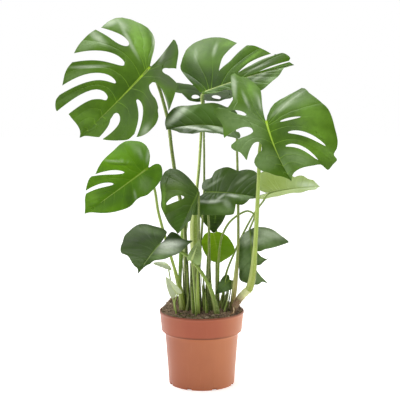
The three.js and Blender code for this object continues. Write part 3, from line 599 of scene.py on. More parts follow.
            "base": 8.5, "neck": 6, "top": 3.6,
            "route": [[42, -60, 214], [22, -66, 287], [-8, -72, 340], [-41, -77, 378], [-82, -82, 402]]
        }
    },
    {
        "name": "lower_right", "colour": "darkLeaf",
        "junction": [137, 30, 434], "tip": [140, 5, 274], "face": [0.1, -0.9, 0.4],
        "arch": 60, "hang": 20, "back": 20, "half": 80, "roots": [0.25, 0.5],
        "left": {
            "fold": -15, "droop": 10,
            "edge": [[0, 2], [3, 11], [10, 21], [19, 27], [28, 31], [46, 35], [64, 37], [83, 36],
                [101, 38], [119, 36], [138, 36], [151, 30], [157, 18], [161, 6]],
            "cuts": [0.45, 0.72]
        },
        "right": {
            "fold": 0, "droop": 15,
            "edge": [[-1, 2], [-9, 16], [-11, 34], [-7, 54], [0, 72], [12, 89], [24, 104], [36, 113],
                [79, 55], [157, 47], [154, 31], [161, 20], [162, 6]],
            "cuts": [
                {"inner": [65, 16], "after": 7, "width": 13, "pointed": True},
                {"inner": [104, 10], "after": 8, "width": 12, "pointed": True}
            ]
        },
        "stalk": {
            "base": 6.5, "neck": 3.8, "top": 2.6,
            "route": [[45, -2, 214], [48, 8, 351], [57, 15, 416], [77, 22, 455], [103, 26, 477],
                [131, 32, 488], [150, 40, 475]]
        }
    },
    {
        "name": "inner_bright", "colour": "youngLeaf",
        "junction": [35, 50, 419], "tip": [52, 35, 338], "face": [0, -0.95, 0.3],
        "arch": 20, "hang": 20, "back": 15, "half": 45, "roots": [0.4],
        "left": {
            "fold": 10, "droop": 10,
            "edge": [[-4, 2], [-9, 16], [-1, 30], [17, 40], [38, 40], [60, 33], [76, 20], [82, 6]],
            "cuts": [0.6]
        },
        "right": {
            "fold": 10, "droop": 10,
            "edge": [[-3, 2], [-5, 10], [2, 23], [14, 36], [30, 44], [48, 49], [59, 48], [71, 35],
                [80, 12]],
            "cuts": [0.6]
        },
        "stalk": {
            "base": 6, "neck": 3.4, "top": 2.4,
            "route": [[16, 46, 214], [24, 62, 336], [32, 64, 395]]
        }
    },
    {
        "name": "inner_low", "colour": "darkLeaf",
        "junction": [79, 3, 294], "tip": [40, -20, 258], "face": [-0.1, -0.9, 0.42],
        "arch": 20, "hang": 10, "back": 8, "half": 22, "roots": [0.4],
        "left": {"fold": 6, "droop": 10, "edge": heart(58, 20, 10), "cuts": [0.6]},
        "right": {"fold": 0, "droop": 10, "edge": heart(58, 24, 10), "cuts": [0.6]},
        "stalk": {"base": 3, "neck": 2.6, "top": 2.2, "route": [[70, 16, 214], [77, 14, 268]]}
    },
    {
        "name": "sprout", "colour": "paleLeaf",
        "junction": [-94, -30, 343], "tip": [-133, -60, 353], "face": [0.1, -0.6, 0.8],
        "arch": 20, "hang": 10, "back": 8, "half": 20, "roots": [0.4],
        "left": {"fold": -15, "droop": 10, "edge": heart(55, 18, 8), "cuts": [0.6]},
        "right": {"fold": -5, "droop": 10, "edge": heart(55, 18, 8), "cuts": [0.6]},
        "stalk": {
            "base": 2.2, "neck": 2, "top": 1.8,
            "route": [[-77, -20, 214], [-83, -22, 262], [-91, -24, 318]]
        }
    },
    {
        "name": "sprout_folded", "colour": "paleLeaf",
        "junction": [-70, -48, 266], "tip": [-101, -60, 318], "face": [-0.3, -0.9, 0.3],
        "arch": 10, "hang": 10, "back": 6, "half": 17, "roots": [0.4],
        "left": {"fold": 20, "droop": 5, "edge": heart(60, 17, 5), "cuts": [0.6]},
        "right": {"fold": 30, "droop": 5, "edge": heart(60, 19, 5), "cuts": [0.6]},
        "stalk": {
            "base": 2.6, "neck": 2.4, "top": 2,
            "route": [[-72, -46, 214], [-76, -40, 238], [-72, -40, 252]]
        }
    },
    {
        "name": "inner_pale", "colour": "paleLeaf",
        "junction": [-27, -96, 371], "tip": [-6, -104, 428], "face": [-0.1, -0.95, 0.2],
        "arch": 16, "hang": 10, "back": 8, "half": 24, "roots": [0.4],
        "left": {"fold": 12, "droop": 10, "edge": heart(60, 26, 8), "cuts": [0.6]},
        "right": {"fold": 12, "droop": 10, "edge": heart(60, 14, 8), "cuts": [0.6]},
        "stalk": {
            "base": 3, "neck": 2.6, "top": 2.2,
            "route": [[-16, -74, 214], [-21, -86, 290], [-26, -92, 350]]
        }
    },
    {
        "name": "inner_dark", "colour": "darkLeaf",
        "junction": [41, 84, 486], "tip": [35, 76, 418], "face": [0, -0.9, 0.4],
        "arch": 20, "hang": 20, "back": 20, "half": 50, "roots": [0.4],
        "left": {"fold": 0, "droop": 20, "edge": heart(70, 50, 22), "cuts": [0.6]},
        "right": {"fold": 0, "droop": 20, "edge": heart(70, 30, 22), "cuts": [0.6]},
        "stalk": {
            "base": 7, "neck": 4, "top": 2.6,
            "route": [[45, 40, 214], [43, 78, 341], [42, 98, 441], [42, 96, 468]]
        }
    },
    {
        "name": "back", "colour": "darkLeaf",
        "junction": [6, 100, 803], "tip": [6, 200, 850], "face": [0, -0.4, 0.9],
        "arch": 10, "hang": 10, "back": 20, "half": 80, "roots": [0.12],
        "left": {
            "fold": 10, "droop": 0,
            "edge": [[-4, 3], [-11, 9], [-16, 24], [-18, 44], [-15, 61], [-15, 79], [-1, 88], [21, 88],
                [43, 77], [65, 54], [94, 19]],
            "cuts": [{"inner": [10, 24], "mouth": 0.218, "width": 8, "end": 0.876}]
        },
        "right": {
            "fold": 24, "droop": 5,
            "edge": [[-4, 2], [-17, 12], [-24, 34], [-24, 49], [-13, 61], [-8, 73], [-11, 88], [-6, 97],
                [15, 98], [34, 92], [47, 74], [45, 53], [50, 36], [80, 24], [104, 6]],
            "cuts": [{"inner": [7, 14], "mouth": 0.172, "width": 8, "end": 0.792}]
        },
        "stalk": {
            "base": 7, "neck": 3.8, "top": 2.8,
            "route": [[-14, 50, 214], [-4, 62, 371], [6, 66, 516], [7, 76, 620], [6, 88, 720],
                [5, 94, 778]]
        }
    }
]

# Thickness and relief of the blades, in mm
blade = {
    "thick": 0.8,
    "edgeThick": 0.5,
    "veinGroove": 0.45,
    "ribGroove": 0.7,
    "veinRidge": 0.8,
    "pillow": 0.026,      # rise between two veins, as a share of the way between them
    "pillowMost": 2.2,
    "ripple": 1.3,
    "ripples": 5,
    "dip": 4.0,           # how far a lobe's end may stand off its neighbours
    "widestAt": 0.4,
    "corner": 0.012,      # how far a lobe's corner towards the stalk is rounded off
    "columnStep": 0.075,
    "smallUnder": 150,    # a shorter leaf has less relief
    "veinletStep": 4.5,
    "veinWide": 1.6,      # grooves of the veins and the midrib at their start, and how much they narrow
    "veinTaper": 0.9,
    "ribWide": 2.6,
    "ribTaper": 1.4,
    "veinLine": 1.1,      # their pale lines
    "ribLine": 3.9,
    # scale, detail and contrast of the noise in the colours and the skin
    "broadGrain": (14, 2, 2.2),
    "mottleGrain": (75, 4, 1.6),
    "fineGrain": (420, 2),
    # how much the lines show in the colour, where a look has no share of its own, and the gloss
    "veinletShare": 0.18,
    "veinShare": 0.55,
    "ribShare": 0.9,
    "shine": 0.22,
    "skinDepth": 0.35,
}
# Where the veins between two cuts run, as shares of the lobe's width
lobeVeins = {"first": [0.3, 0.55, 0.8], "middle": [0.5], "last": [0.25, 0.5, 0.75]}
# How plainly the midrib shows, where it isn't as pale as on the large leaves
ribTone = {
    "upper_middle": 0.15, "middle": 0.2, "left": 0.45, "front_left": 0.3, "front_right": 0.5,
    "lower_left": 0.4, "lower_right": 0.3, "inner_bright": 0.3, "inner_low": 0.4, "inner_dark": 0.3,
    "back": 0.3
}
# Tones of the strokes: silver, white, sage and grey are painted sheen and highlights, deep is painted
# shade, the others are greens of the leaf's own
tones = {
    "paintedSilverSheen": (190, 204, 176),
    "spring": (108, 140, 56),
    "bright": (118, 164, 52),
    "paintedGreySheen": (76, 94, 56),
    "olive": (84, 104, 48),
    "deep": (28, 48, 10),
    "moss": (66, 100, 26),
    "paintedSageSheen": (122, 150, 94),
    "lime": (100, 150, 4),
    "straw": (126, 148, 58),
    "paintedWhiteGlint": (216, 224, 208),
}
# Soft strokes on a leaf, placed as the photograph shows them, of its own greens, painted sheen and
# highlights
# and painted shade: tone, half of the leaf, from x and y, to x and y and width, in pixels of the
# photograph, and share
strokesOfToneAndPaintedLight = {
    "upper_left": [
        ("bright", "left", 147, 60, 132, 22, 17, 0.7),
        ("paintedSilverSheen", "left", 137, 56, 121, 26, 4, 0.5),
        ("paintedSilverSheen", "left", 128, 30, 117, 20, 4, 0.35),
        ("paintedSilverSheen", "left", 118, 20, 102, 27, 6, 0.5),
        ("paintedSilverSheen", "left", 153, 28, 154, 48, 3.5, 0.6),
        ("paintedSilverSheen", "left", 105, 44, 90, 32, 7, 0.6),
        ("paintedSageSheen", "left", 98, 42, 76, 53, 9, 0.6),
        ("paintedSilverSheen", "left", 106, 66, 72, 67, 3, 0.6),
        ("paintedSageSheen", "left", 92, 72, 64, 80, 12, 0.4),
        ("paintedSilverSheen", "left", 110, 77, 100, 78, 2.5, 0.45),
        ("paintedSageSheen", "left", 96, 92, 62, 100, 8, 0.25),
        ("moss", "left", 125, 88, 105, 96, 12, 0.3),
        ("bright", "left", 100, 119, 74, 116, 16, 0.35),
        ("paintedGreySheen", "right", 155, 72, 178, 88, 13, 0.85),
        ("paintedGreySheen", "right", 160, 66, 172, 44, 15, 0.85),
        ("paintedGreySheen", "right", 148, 85, 152, 120, 12, 0.6),
        ("moss", "right", 130, 105, 120, 135, 14, 0.4),
        ("paintedSilverSheen", "right", 148, 124, 141, 136, 7, 0.5),
        ("paintedSilverSheen", "right", 159, 63, 166, 48, 3, 0.45),
        ("paintedSilverSheen", "right", 161, 91, 167, 107, 4, 0.75),
    ],
    "upper_middle": [
        ("moss", "right", 205, 86, 182, 70, 10, 0.8),
        ("moss", "right", 208, 88, 220, 72, 24, 0.8),
        ("paintedSageSheen", "right", 196, 62, 200, 42, 16, 0.35),
        ("paintedSilverSheen", "right", 196, 62, 196, 48, 4, 0.3),
        ("paintedSilverSheen", "right", 213, 56, 217, 44, 4, 0.45),
        ("bright", "right", 222, 46, 236, 42, 5, 0.5),
        ("moss", "right", 219, 48, 217, 60, 4, 0.6),
        ("moss", "right", 232, 70, 252, 50, 8, 0.4),
        ("bright", "right", 240, 66, 262, 50, 3, 0.7),
        ("paintedGreySheen", "right", 244, 72, 284, 56, 9, 0.75),
        ("paintedSilverSheen", "right", 246, 72, 270, 62, 2, 0.4),
        ("moss", "left", 206, 92, 236, 84, 6, 0.9),
        ("paintedGreySheen", "left", 240, 82, 280, 68, 14, 0.7),
        ("paintedSilverSheen", "left", 248, 84, 270, 70, 3, 0.35),
        ("paintedSageSheen", "left", 262, 88, 284, 68, 5, 0.7),
        ("deep", "right", 205, 88, 186, 60, 22, 0.6),
        ("deep", "right", 208, 90, 222, 68, 24, 0.6),
    ],
    "middle": [
        ("moss", "left", 188, 114, 224, 112, 18, 0.75),
        ("paintedSilverSheen", "left", 169, 123, 190, 104, 7, 0.9),
        ("paintedSageSheen", "left", 182, 116, 200, 104, 5, 0.6),
        ("paintedSilverSheen", "right", 172, 127, 198, 127, 3, 0.7),
        ("paintedWhiteGlint", "right", 186, 127, 210, 131, 2.5, 0.9),
        ("paintedSilverSheen", "right", 206, 124, 228, 133, 5, 0.6),
        ("deep", "right", 180, 131, 200, 132, 4, 0.5),
    ],
    "upper_right": [
        ("paintedSageSheen", "left", 262, 116, 240, 78, 22, 0.15),
        ("paintedSageSheen", "left", 258, 128, 216, 112, 26, 0.6),
        ("paintedSageSheen", "left", 262, 136, 232, 150, 22, 0.75),
        ("paintedSageSheen", "left", 272, 150, 262, 168, 22, 0.6),
        ("paintedSilverSheen", "left", 235, 98, 233, 74, 5, 0.6),
        ("paintedSilverSheen", "left", 249, 108, 242, 92, 3, 0.45),
        ("paintedSilverSheen", "left", 261, 110, 256, 92, 3, 0.7),
        ("bright", "left", 252, 96, 250, 80, 8, 0.5),
        ("paintedSilverSheen", "right", 274, 114, 304, 90, 5, 0.6),
        ("paintedSageSheen", "right", 280, 106, 312, 96, 14, 0.35),
        ("bright", "right", 300, 112, 334, 120, 20, 0.5),
        ("bright", "right", 300, 126, 336, 140, 14, 0.5),
        ("bright", "right", 290, 145, 332, 156, 14, 0.45),
        ("paintedSageSheen", "right", 282, 152, 310, 162, 14, 0.6),
        ("paintedSageSheen", "right", 280, 160, 290, 176, 10, 0.5),
        ("paintedSageSheen", "left", 238, 160, 264, 170, 24, 0.6),
        ("paintedSilverSheen", "left", 268, 104, 262, 88, 3, 0.5),
    ],
    "left": [
        ("lime", "left", 134, 158, 104, 160, 22, 0.85),
        ("lime", "left", 124, 152, 138, 148, 10, 0.5),
        ("paintedSilverSheen", "left", 142, 158, 134, 143, 5, 0.35),
        ("paintedSilverSheen", "left", 147, 162, 149, 148, 4, 0.5),
        ("paintedSilverSheen", "left", 128, 162, 104, 161, 2, 0.4),
        ("deep", "left", 136, 165, 106, 164, 2, 0.5),
        ("bright", "left", 118, 178, 90, 182, 8, 0.2),
        ("bright", "left", 100, 196, 87, 196, 14, 0.4),
        ("deep", "right", 130, 184, 128, 206, 8, 0.35),
        ("paintedSageSheen", "right", 138, 186, 152, 182, 16, 0.5),
        ("lime", "right", 152, 186, 158, 170, 5, 0.4),
        ("paintedSilverSheen", "right", 134, 190, 136, 200, 2.5, 0.4),
        ("bright", "right", 126, 206, 92, 210, 7, 0.2),
        ("moss", "left", 120, 186, 90, 194, 14, 0.5),
        ("moss", "right", 124, 196, 92, 206, 14, 0.6),
    ],
    "front_left": [
        ("paintedGreySheen", "left", 190, 180, 170, 174, 14, 0.6),
        ("bright", "left", 164, 186, 164, 212, 4, 0.7),
        ("moss", "left", 184, 212, 176, 230, 14, 0.8),
        ("spring", "both", 176, 180, 172, 208, 22, 0.5),
    ],
    "lower_left": [
        ("paintedSageSheen", "left", 162, 233, 138, 228, 7, 0.4),
        ("deep", "right", 164, 236, 184, 237, 11, 0.65),
        ("paintedGreySheen", "right", 176, 251, 192, 246, 9, 0.8),
        ("paintedSilverSheen", "right", 156, 252, 180, 250, 8, 0.8),
        ("paintedWhiteGlint", "right", 158, 246, 182, 243, 8, 1),
        ("paintedSageSheen", "right", 150, 258, 172, 256, 6, 0.6),
    ],
    "right": [
        ("straw", "both", 258, 182, 288, 184, 22, 0.9),
        ("paintedSageSheen", "both", 290, 184, 316, 186, 14, 0.4),
        ("paintedSilverSheen", "both", 298, 184, 319, 186, 7, 0.5),
    ],
    "front_right": [
        ("paintedGreySheen", "right", 212, 184, 250, 180, 18, 0.5),
        ("paintedSilverSheen", "right", 206, 188, 222, 178, 3, 0.4),
        ("paintedSilverSheen", "right", 236, 184, 248, 175, 3, 0.35),
        ("paintedWhiteGlint", "left", 195, 201, 208, 202, 3, 0.5),
        ("paintedWhiteGlint", "left", 205, 202, 221, 201, 3.5, 0.65),
        ("paintedWhiteGlint", "left", 217, 200, 225, 194, 2.5, 0.5),
        ("paintedWhiteGlint", "left", 227, 195, 241, 197, 3, 0.65),
        ("paintedSageSheen", "left", 236, 197, 253, 196, 7, 0.7),
        ("paintedSilverSheen", "left", 223, 200, 231, 208, 6, 0.4),
        ("moss", "left", 192, 210, 214, 208, 10, 0.6),
        ("paintedSageSheen", "left", 212, 208, 236, 211, 8, 0.5),
    ],
    "lower_right": [
        ("paintedSageSheen", "right", 256, 240, 282, 240, 24, 0.6),
        ("paintedSilverSheen", "right", 254, 230, 284, 238, 8, 0.7),
        ("paintedSilverSheen", "right", 246, 240, 270, 240, 10, 0.5),
        ("paintedSilverSheen", "left", 240, 236, 252, 240, 16, 0.7),
        ("paintedSageSheen", "left", 246, 250, 246, 276, 16, 0.6),
        ("paintedSageSheen", "right", 256, 262, 266, 256, 8, 0.4),
        ("paintedSageSheen", "right", 258, 284, 260, 270, 12, 0.45),
    ],
    "inner_bright": [
        ("lime", "right", 224, 236, 224, 258, 20, 0.6),
    ],
    "inner_pale": [
        ("olive", "both", 194, 258, 198, 244, 14, 0.8),
    ],
    "inner_low": [
        ("paintedSageSheen", "both", 228, 282, 218, 290, 18, 0.6),
    ],
    "sprout": [
        ("paintedWhiteGlint", "both", 168, 268, 156, 263, 14, 0.6),
    ],
    "sprout_folded": [
        ("paintedSilverSheen", "both", 178, 294, 168, 280, 14, 0.35),
    ],
}
# Rows of the net, from the midrib (0) to the margin (1): close together where cuts begin and end
rowPlaces = [0, 0.015, 0.04, 0.08, 0.13, 0.19, 0.25, 0.3, 1 / 3, 0.337, 0.345, 0.357, 0.375, 0.4, 0.43,
    0.47, 0.52, 0.57, 0.63, 0.69, 0.75, 0.79, 0.815, 0.828, 5 / 6, 0.86, 0.9, 0.94, 0.975, 1]


def smooth(value):
    t = np.clip(value, 0, 1)
    return t * t * (3 - 2 * t)


def unit(vector):
    return vector / np.linalg.norm(vector, axis=-1, keepdims=True)


def bent(distance, heading, turn):
    # Travel along an arc: forwards, upwards and the final heading after a distance
    turn = np.where(np.abs(turn) < 1e-7, 1e-7, turn)
    end = heading - turn * distance
    return (np.sin(heading) - np.sin(end)) / turn, (np.cos(end) - np.cos(heading)) / turn, end


def placed(spec):
    # A leaf with its own axes and the length of its midrib
    origin, tip = np.array(spec["junction"], float), np.array(spec["tip"], float)
    along = unit(tip - origin)
    face = np.array(spec["face"], float)
    face = unit(face - along * face.dot(along))
    halfArch = math.radians(spec["arch"]) / 2
    length = np.linalg.norm(tip - origin) * halfArch / math.sin(halfArch)
    across = np.cross(along, face)
    return {**spec, "origin": origin, "along": along, "normal": face, "across": across, "length": length}


def bladePoint(leaf, u, v, lift=0.0):
    # The point of the blade at u along the midrib and v across it
    u, v = np.broadcast_arrays(np.asarray(u, float), np.asarray(v, float))
    arch = math.radians(leaf["arch"])
    back = u < 0
    turn = np.where(back, math.radians(leaf["hang"]) / leaf["back"], arch / leaf["length"])
    forward, rise, heading = bent(np.abs(u), np.where(back, -arch / 2, arch / 2), turn)
    forward, heading = np.where(back, -forward, forward), np.where(back, -heading, heading)
    nearness = smooth(-u / leaf["back"])
    folds, droops = [], []
    for half in (leaf["left"], leaf["right"]):
        folds.append(np.radians(half["fold"] + half.get("basal", 0) * nearness))
        droops.append(math.radians(half["droop"]) / leaf["half"])
    fold = np.where(v >= 0, folds[0], folds[1])
    side, up, _ = bent(np.abs(v), fold, np.where(v >= 0, droops[0], droops[1]))
    upward = np.cos(heading)[..., None] * leaf["normal"] - np.sin(heading)[..., None] * leaf["along"]
    return (leaf["origin"] + forward[..., None] * leaf["along"] + rise[..., None] * leaf["normal"]
        + (np.sign(v) * side)[..., None] * leaf["across"] + (up + lift)[..., None] * upward)


def marginThrough(points):
    # A smooth flat curve through points by the fraction of its length, and each point's place on it
    p = np.array(points, float)
    ends = np.vstack([2 * p[0] - p[1], p, 2 * p[-1] - p[-2]])
    lengths = np.linalg.norm(np.diff(ends, axis=0), axis=1)
    directions = (ends[2:] - ends[:-2]) / (lengths[1:] + lengths[:-1])[:, None]
    lengths = lengths[1:-1]
    reached = np.concatenate([[0], np.cumsum(lengths)])

    def margin(fraction):
        distance = np.clip(fraction, 0, 1) * reached[-1]
        i = np.clip(np.searchsorted(reached, distance) - 1, 0, len(lengths) - 1)
        t = ((distance - reached[i]) / lengths[i])[..., None]
        bend = directions[i] * (t**3 - 2 * t**2 + t) + directions[i + 1] * (t**3 - t**2)
        chord = p[i] * (2 * t**3 - 3 * t**2 + 1) + p[i + 1] * (3 * t**2 - 2 * t**3)
        return chord + bend * lengths[i][..., None]

    return margin, reached / reached[-1]


def veinThrough(root, inner, mouth):
    # A curve from the midrib through a point inside the blade to the margin
    near = np.linalg.norm(inner - root)
    reach = near / (near + np.linalg.norm(mouth - inner))

    def at(r):
        r = np.asarray(r, float)[..., None]
        return (root * (r - reach) * (r - 1) / reach + inner * r * (r - 1) / (reach * (reach - 1))
            + mouth * r * (r - reach) / (1 - reach))

    return at, reach


def veinsOf(leaf, half, margin, places):
    # The borders between a half's lobes; corners are where a border's two sides meet the margin
    start = margin(np.array(0.0))

    def atStart(r):
        return start * np.asarray(r, float)[..., None]

    veins = [{"at": atStart, "corners": [0, 0], "kind": "edge"}]
    for cut, root in zip(half["cuts"], leaf["roots"]):
        root = np.array([root * leaf["length"], 0.0])
        whole = not isinstance(cut, dict)
        corners = [cut, cut] if whole else [cut.get("mouth")] * 2
        if not whole and "after" in cut:
            corners = [places[cut["after"]], places[cut["after"] + 1]]
        mouth = margin(np.array(sum(corners) / 2))
        if whole:
            middle = (root + mouth) / 2 - np.array([0.06 * np.linalg.norm(mouth - root), 0])
            at = veinThrough(root, middle, mouth)[0]
            veins.append({"at": at, "corners": corners, "kind": "vein"})
        else:
            at, reach = veinThrough(root, np.array(cut["inner"], float), mouth)
            sides = [margin(np.array(corner)) - mouth for corner in corners]
            vein = {"at": at, "reach": reach, "corners": corners, "sides": sides, "cut": cut}
            veins.append({**vein, "kind": "cut"})
    tip = np.array([leaf["length"], 0.0])

    def atTip(r):
        return tip + 0 * np.asarray(r, float)[..., None]

    return [*veins, {"at": atTip, "corners": [1, 1], "kind": "tip"}]


def rowPlace(vein, row):
    # How far out a vein's row lies, from 0 at the midrib to 1 at the margin
    if vein["kind"] != "cut":
        return row
    end = vein["cut"].get("end")
    if end:
        return np.interp(row, [0, 1 / 3, 5 / 6, 1], [0, vein["reach"], end, 1])
    return np.interp(row, [0, 1 / 3, 1], [0, vein["reach"], 1])


def gapAt(vein, r):
    # Half the width of a cut at a place along its vein, and how far it has opened into its mouth
    if vein["kind"] != "cut":
        return np.zeros_like(r), np.zeros_like(r)
    cut, reach = vein["cut"], vein["reach"]
    end = cut.get("end", 1)
    t = np.clip((r - reach) / (end - reach), 0, 1)
    if end < 1:
        return cut["width"] * np.sqrt(4 * t * (1 - t)) * (1.15 - 0.3 * t), np.zeros_like(r)
    nearEnd = np.minimum(t / blade["widestAt"], 1)
    profile = nearEnd if cut.get("pointed") else np.sqrt(1 - (1 - nearEnd) ** 2)
    return cut["width"] * profile, np.clip((t - blade["widestAt"]) / (1 - blade["widestAt"]), 0, 1)


def openness(vein, r):
    # 0 where the blade is whole at this border, 1 well inside an open cut
    if vein["kind"] == "cut" and "end" not in vein["cut"]:
        return smooth((r - vein["reach"]) / (1 - vein["reach"]) * 2)
    return np.full_like(r, 1.0 if vein["kind"] == "edge" else 0.0)


def lobeEdge(vein, row, towards):
    # A vein's points, moved off its cut towards the lobe in front (1) or behind (-1)
    r = rowPlace(vein, row)
    gap, opened = gapAt(vein, r)
    run = vein["at"](np.minimum(1, r + 0.01)) - vein["at"](np.maximum(0, r - 0.01))
    run = run / np.maximum(np.linalg.norm(run, axis=-1, keepdims=True), 1e-9)
    off = np.stack([run[..., 1], -run[..., 0]], axis=-1) * (gap * towards)[..., None]
    if "sides" in vein:
        off = off + (vein["sides"][1 if towards > 0 else 0] - off) * opened[..., None]
    return vein["at"](r) + off, gap, r


def columnPlaces(veins):
    # Columns across a lobe, close together beside its veins and borders
    near = {0.0, 0.02, 0.06, 0.94, 0.98, 1.0}
    for vein in veins:
        near.update(vein + side * step for side in (-1, 1) for step in (0, 0.008, 0.025, 0.055))
    near = sorted(near)
    places = []
    for a, b in zip(near, near[1:]):
        count = max(1, math.ceil((b - a) / blade["columnStep"]))
        places += [a + (b - a) * k / count for k in range(count)]
    return np.array(places + [1.0])


def lobeRelief(borders, veins, columns, flat, edges, out):
    # The way to the nearest vein, and the rise of the quilted blade between the veins
    steps = np.linalg.norm(np.diff(flat, axis=1), axis=2)
    way = np.concatenate([np.zeros((len(flat), 1)), np.cumsum(steps, axis=1)], axis=1)
    stations = [0.0, *veins, 1.0]
    marks = [int(np.argmin(np.abs(columns - s))) for s in stations]
    kinds = [borders[0]["kind"], *["vein"] * len(veins), borders[1]["kind"]]
    gap = np.full_like(way, 1e3)
    for mark, kind in zip(marks, kinds):
        if kind == "vein":
            gap = np.minimum(gap, np.abs(way - way[:, mark:mark + 1]))
    rise = np.zeros_like(way)
    for k, (a, b) in enumerate(zip(marks, marks[1:])):
        span = way[:, b:b + 1] - way[:, a:a + 1]
        q = (way[:, a:b + 1] - way[:, a:a + 1]) / np.maximum(span, 1e-6)
        between = 4 * q * (1 - q)
        if k == 0 and kinds[0] != "vein":
            whole = (1 - q) * (1 + q)
            between = whole + (between - whole) * edges[0]
        elif k == len(marks) - 2 and kinds[-1] == "cut":
            whole = q * (2 - q)
            between = whole + (between - whole) * edges[1]
        rise[:, a:b + 1] = between * np.minimum(span * blade["pillow"], blade["pillowMost"])
    return gap, rise * smooth(out / 0.15) * (1 - 0.5 * out**2)


def bladeNet(leaf, chance):
    # The flat net of a blade, with each vertex's place, relief and distances from the veins
    index, values, faces = {}, [], []
    roots = [0, *[root * leaf["length"] for root in leaf["roots"]], leaf["length"]]
    for sign, half in ((1, leaf["left"]), (-1, leaf["right"])):
        margin, places = marginThrough([*half["edge"], [leaf["length"], 0]])
        veins = veinsOf(leaf, half, margin, places)
        phase = chance.uniform(0, 6.28)
        for lobe, (near, far) in enumerate(zip(veins, veins[1:])):
            inside = lobeVeins["first" if lobe == 0 else "last" if far["kind"] == "tip" else "middle"]
            columns = columnPlaces(inside)
            rows = np.array(rowPlaces)[:, None]
            c = columns[None, :] + 0 * rows
            rounded = near["kind"] == "cut" and "after" in near["cut"]
            corner = blade["corner"] * rounded * np.clip(1 - c / 0.3, 0, 1) ** 2
            row = rows * (1 - corner * smooth((rows - 0.55) / 0.45))
            nearAt, nearGap, nearR = lobeEdge(near, row, 1)
            farAt, farGap, farR = lobeEdge(far, row, -1)
            start, end = near["corners"][1], far["corners"][0]
            place = start + (end - start) * c
            startRim, endRim = margin(np.array(float(start))), margin(np.array(float(end)))
            straight = startRim + (endRim - startRim) * c[..., None]
            out = nearR + (farR - nearR) * c
            flat = nearAt + (farAt - nearAt) * c[..., None]
            flat = flat + (margin(place) - straight) * (out**1.5)[..., None]
            flat[0, :, 0] = roots[lobe] + (roots[lobe + 1] - roots[lobe]) * columns
            flat[0, :, 1] = 0
            edges = [openness(near, nearR[:, :1]), openness(far, farR[:, :1])]
            gap, rise = lobeRelief((near, far), inside, columns, flat, edges, out)
            loose = edges[0] + (1 - edges[0]) * smooth(2 * c)
            loose = loose * (edges[1] + (1 - edges[1]) * smooth(2 - 2 * c))
            dip = chance.uniform(-1, 1) + chance.uniform(-1, 1) * (c - 0.5)
            rise = rise + loose * out**2 * dip * blade["dip"]
            wave = np.sin(blade["ripples"] * 6.28 * place + phase)
            rise = rise + blade["ripple"] * wave * smooth(out) ** 3
            herring = out * leaf["half"] - 0.6 * gap
            net = []
            for i in range(len(rowPlaces)):
                net.append([])
                for j in range(len(columns)):
                    u, v = flat[i, j]
                    key = (sign, lobe, i, j)
                    if i == 0 or (far["kind"] == "tip" and j == len(columns) - 1):
                        key, v = round(u, 3), 0.0
                    elif j == 0:
                        key = (sign, "vein", lobe, i, 1 if nearGap[i, j] > 0.01 else 0)
                    elif j == len(columns) - 1:
                        key = (sign, "vein", lobe + 1, i, 2 if farGap[i, j] > 0.01 else 0)
                    if key not in index:
                        index[key] = len(values)
                        relief = [grid[i, j] for grid in (rise, gap, out, herring)]
                        values.append((u, sign * v, math.hypot(v, min(u, 0)), *relief))
                    net[i].append(index[key])
            for i in range(len(rowPlaces) - 1):
                for j in range(len(columns) - 1):
                    ring = [net[i][j], net[i][j + 1], net[i + 1][j + 1], net[i + 1][j]]
                    ring = ring[::-1] if sign > 0 else ring
                    ring = [corner for k, corner in enumerate(ring) if corner != ring[k - 1]]
                    if len(ring) > 2:
                        faces.append(ring)
    return np.array(values), faces


def photoPixels(points):
    # Where places in millimetres show in the photograph's pixels
    tilt = math.radians(studio["cameraTilt"])
    away = points - np.array(studio["cameraPlace"]) / mm
    depth = away[:, 1] * math.cos(tilt) - away[:, 2] * math.sin(tilt)
    rise = away[:, 1] * math.sin(tilt) + away[:, 2] * math.cos(tilt)
    focal = studio["lens"] / studio["sensor"] * studio["photoWidth"]
    middle = studio["photoWidth"] / 2
    return middle + focal * away[:, 0] / depth, middle - focal * rise / depth


def strokeToneAndPaintedLight(leaf, v, points):
    # The colour and the share of the blade's soft strokes at each vertex: its own greens, painted sheen
    # and highlights and painted shade
    x, y = photoPixels(points)
    colour, share = np.zeros((len(v), 3)), np.zeros((len(v), 1))
    for tone, half, x0, y0, x1, y1, wide, amount in strokesOfToneAndPaintedLight.get(leaf["name"], []):
        long, turn = math.hypot(x1 - x0, y1 - y0) / 2, math.atan2(y1 - y0, x1 - x0)
        dx, dy = x - (x0 + x1) / 2, y - (y0 + y1) / 2
        along = dx * math.cos(turn) + dy * math.sin(turn)
        across = dy * math.cos(turn) - dx * math.sin(turn)
        off = (along / long) ** 2 + (2 * across / wide) ** 2
        onHalf = v * {"left": 1, "both": 0, "right": -1}[half] >= 0
        part = (amount * np.exp(-off**1.5) * onHalf)[:, None]
        colour = colour * (1 - part) + np.array(paint(*tones[tone])[:3]) * part
        share = share * (1 - part) + part
    return np.hstack([colour / np.maximum(share, 1e-4), share])


def cornerNormals(points, faces):
    normals = np.zeros_like(points)
    for count in (3, 4):
        rings = np.array([face for face in faces if len(face) == count])
        if len(rings):
            first = points[rings[:, 2]] - points[rings[:, 0]]
            last = points[rings[:, -1]] - points[rings[:, 1]]
            for k in range(count):
                np.add.at(normals, rings[:, k], np.cross(first, last))
    return unit(normals)


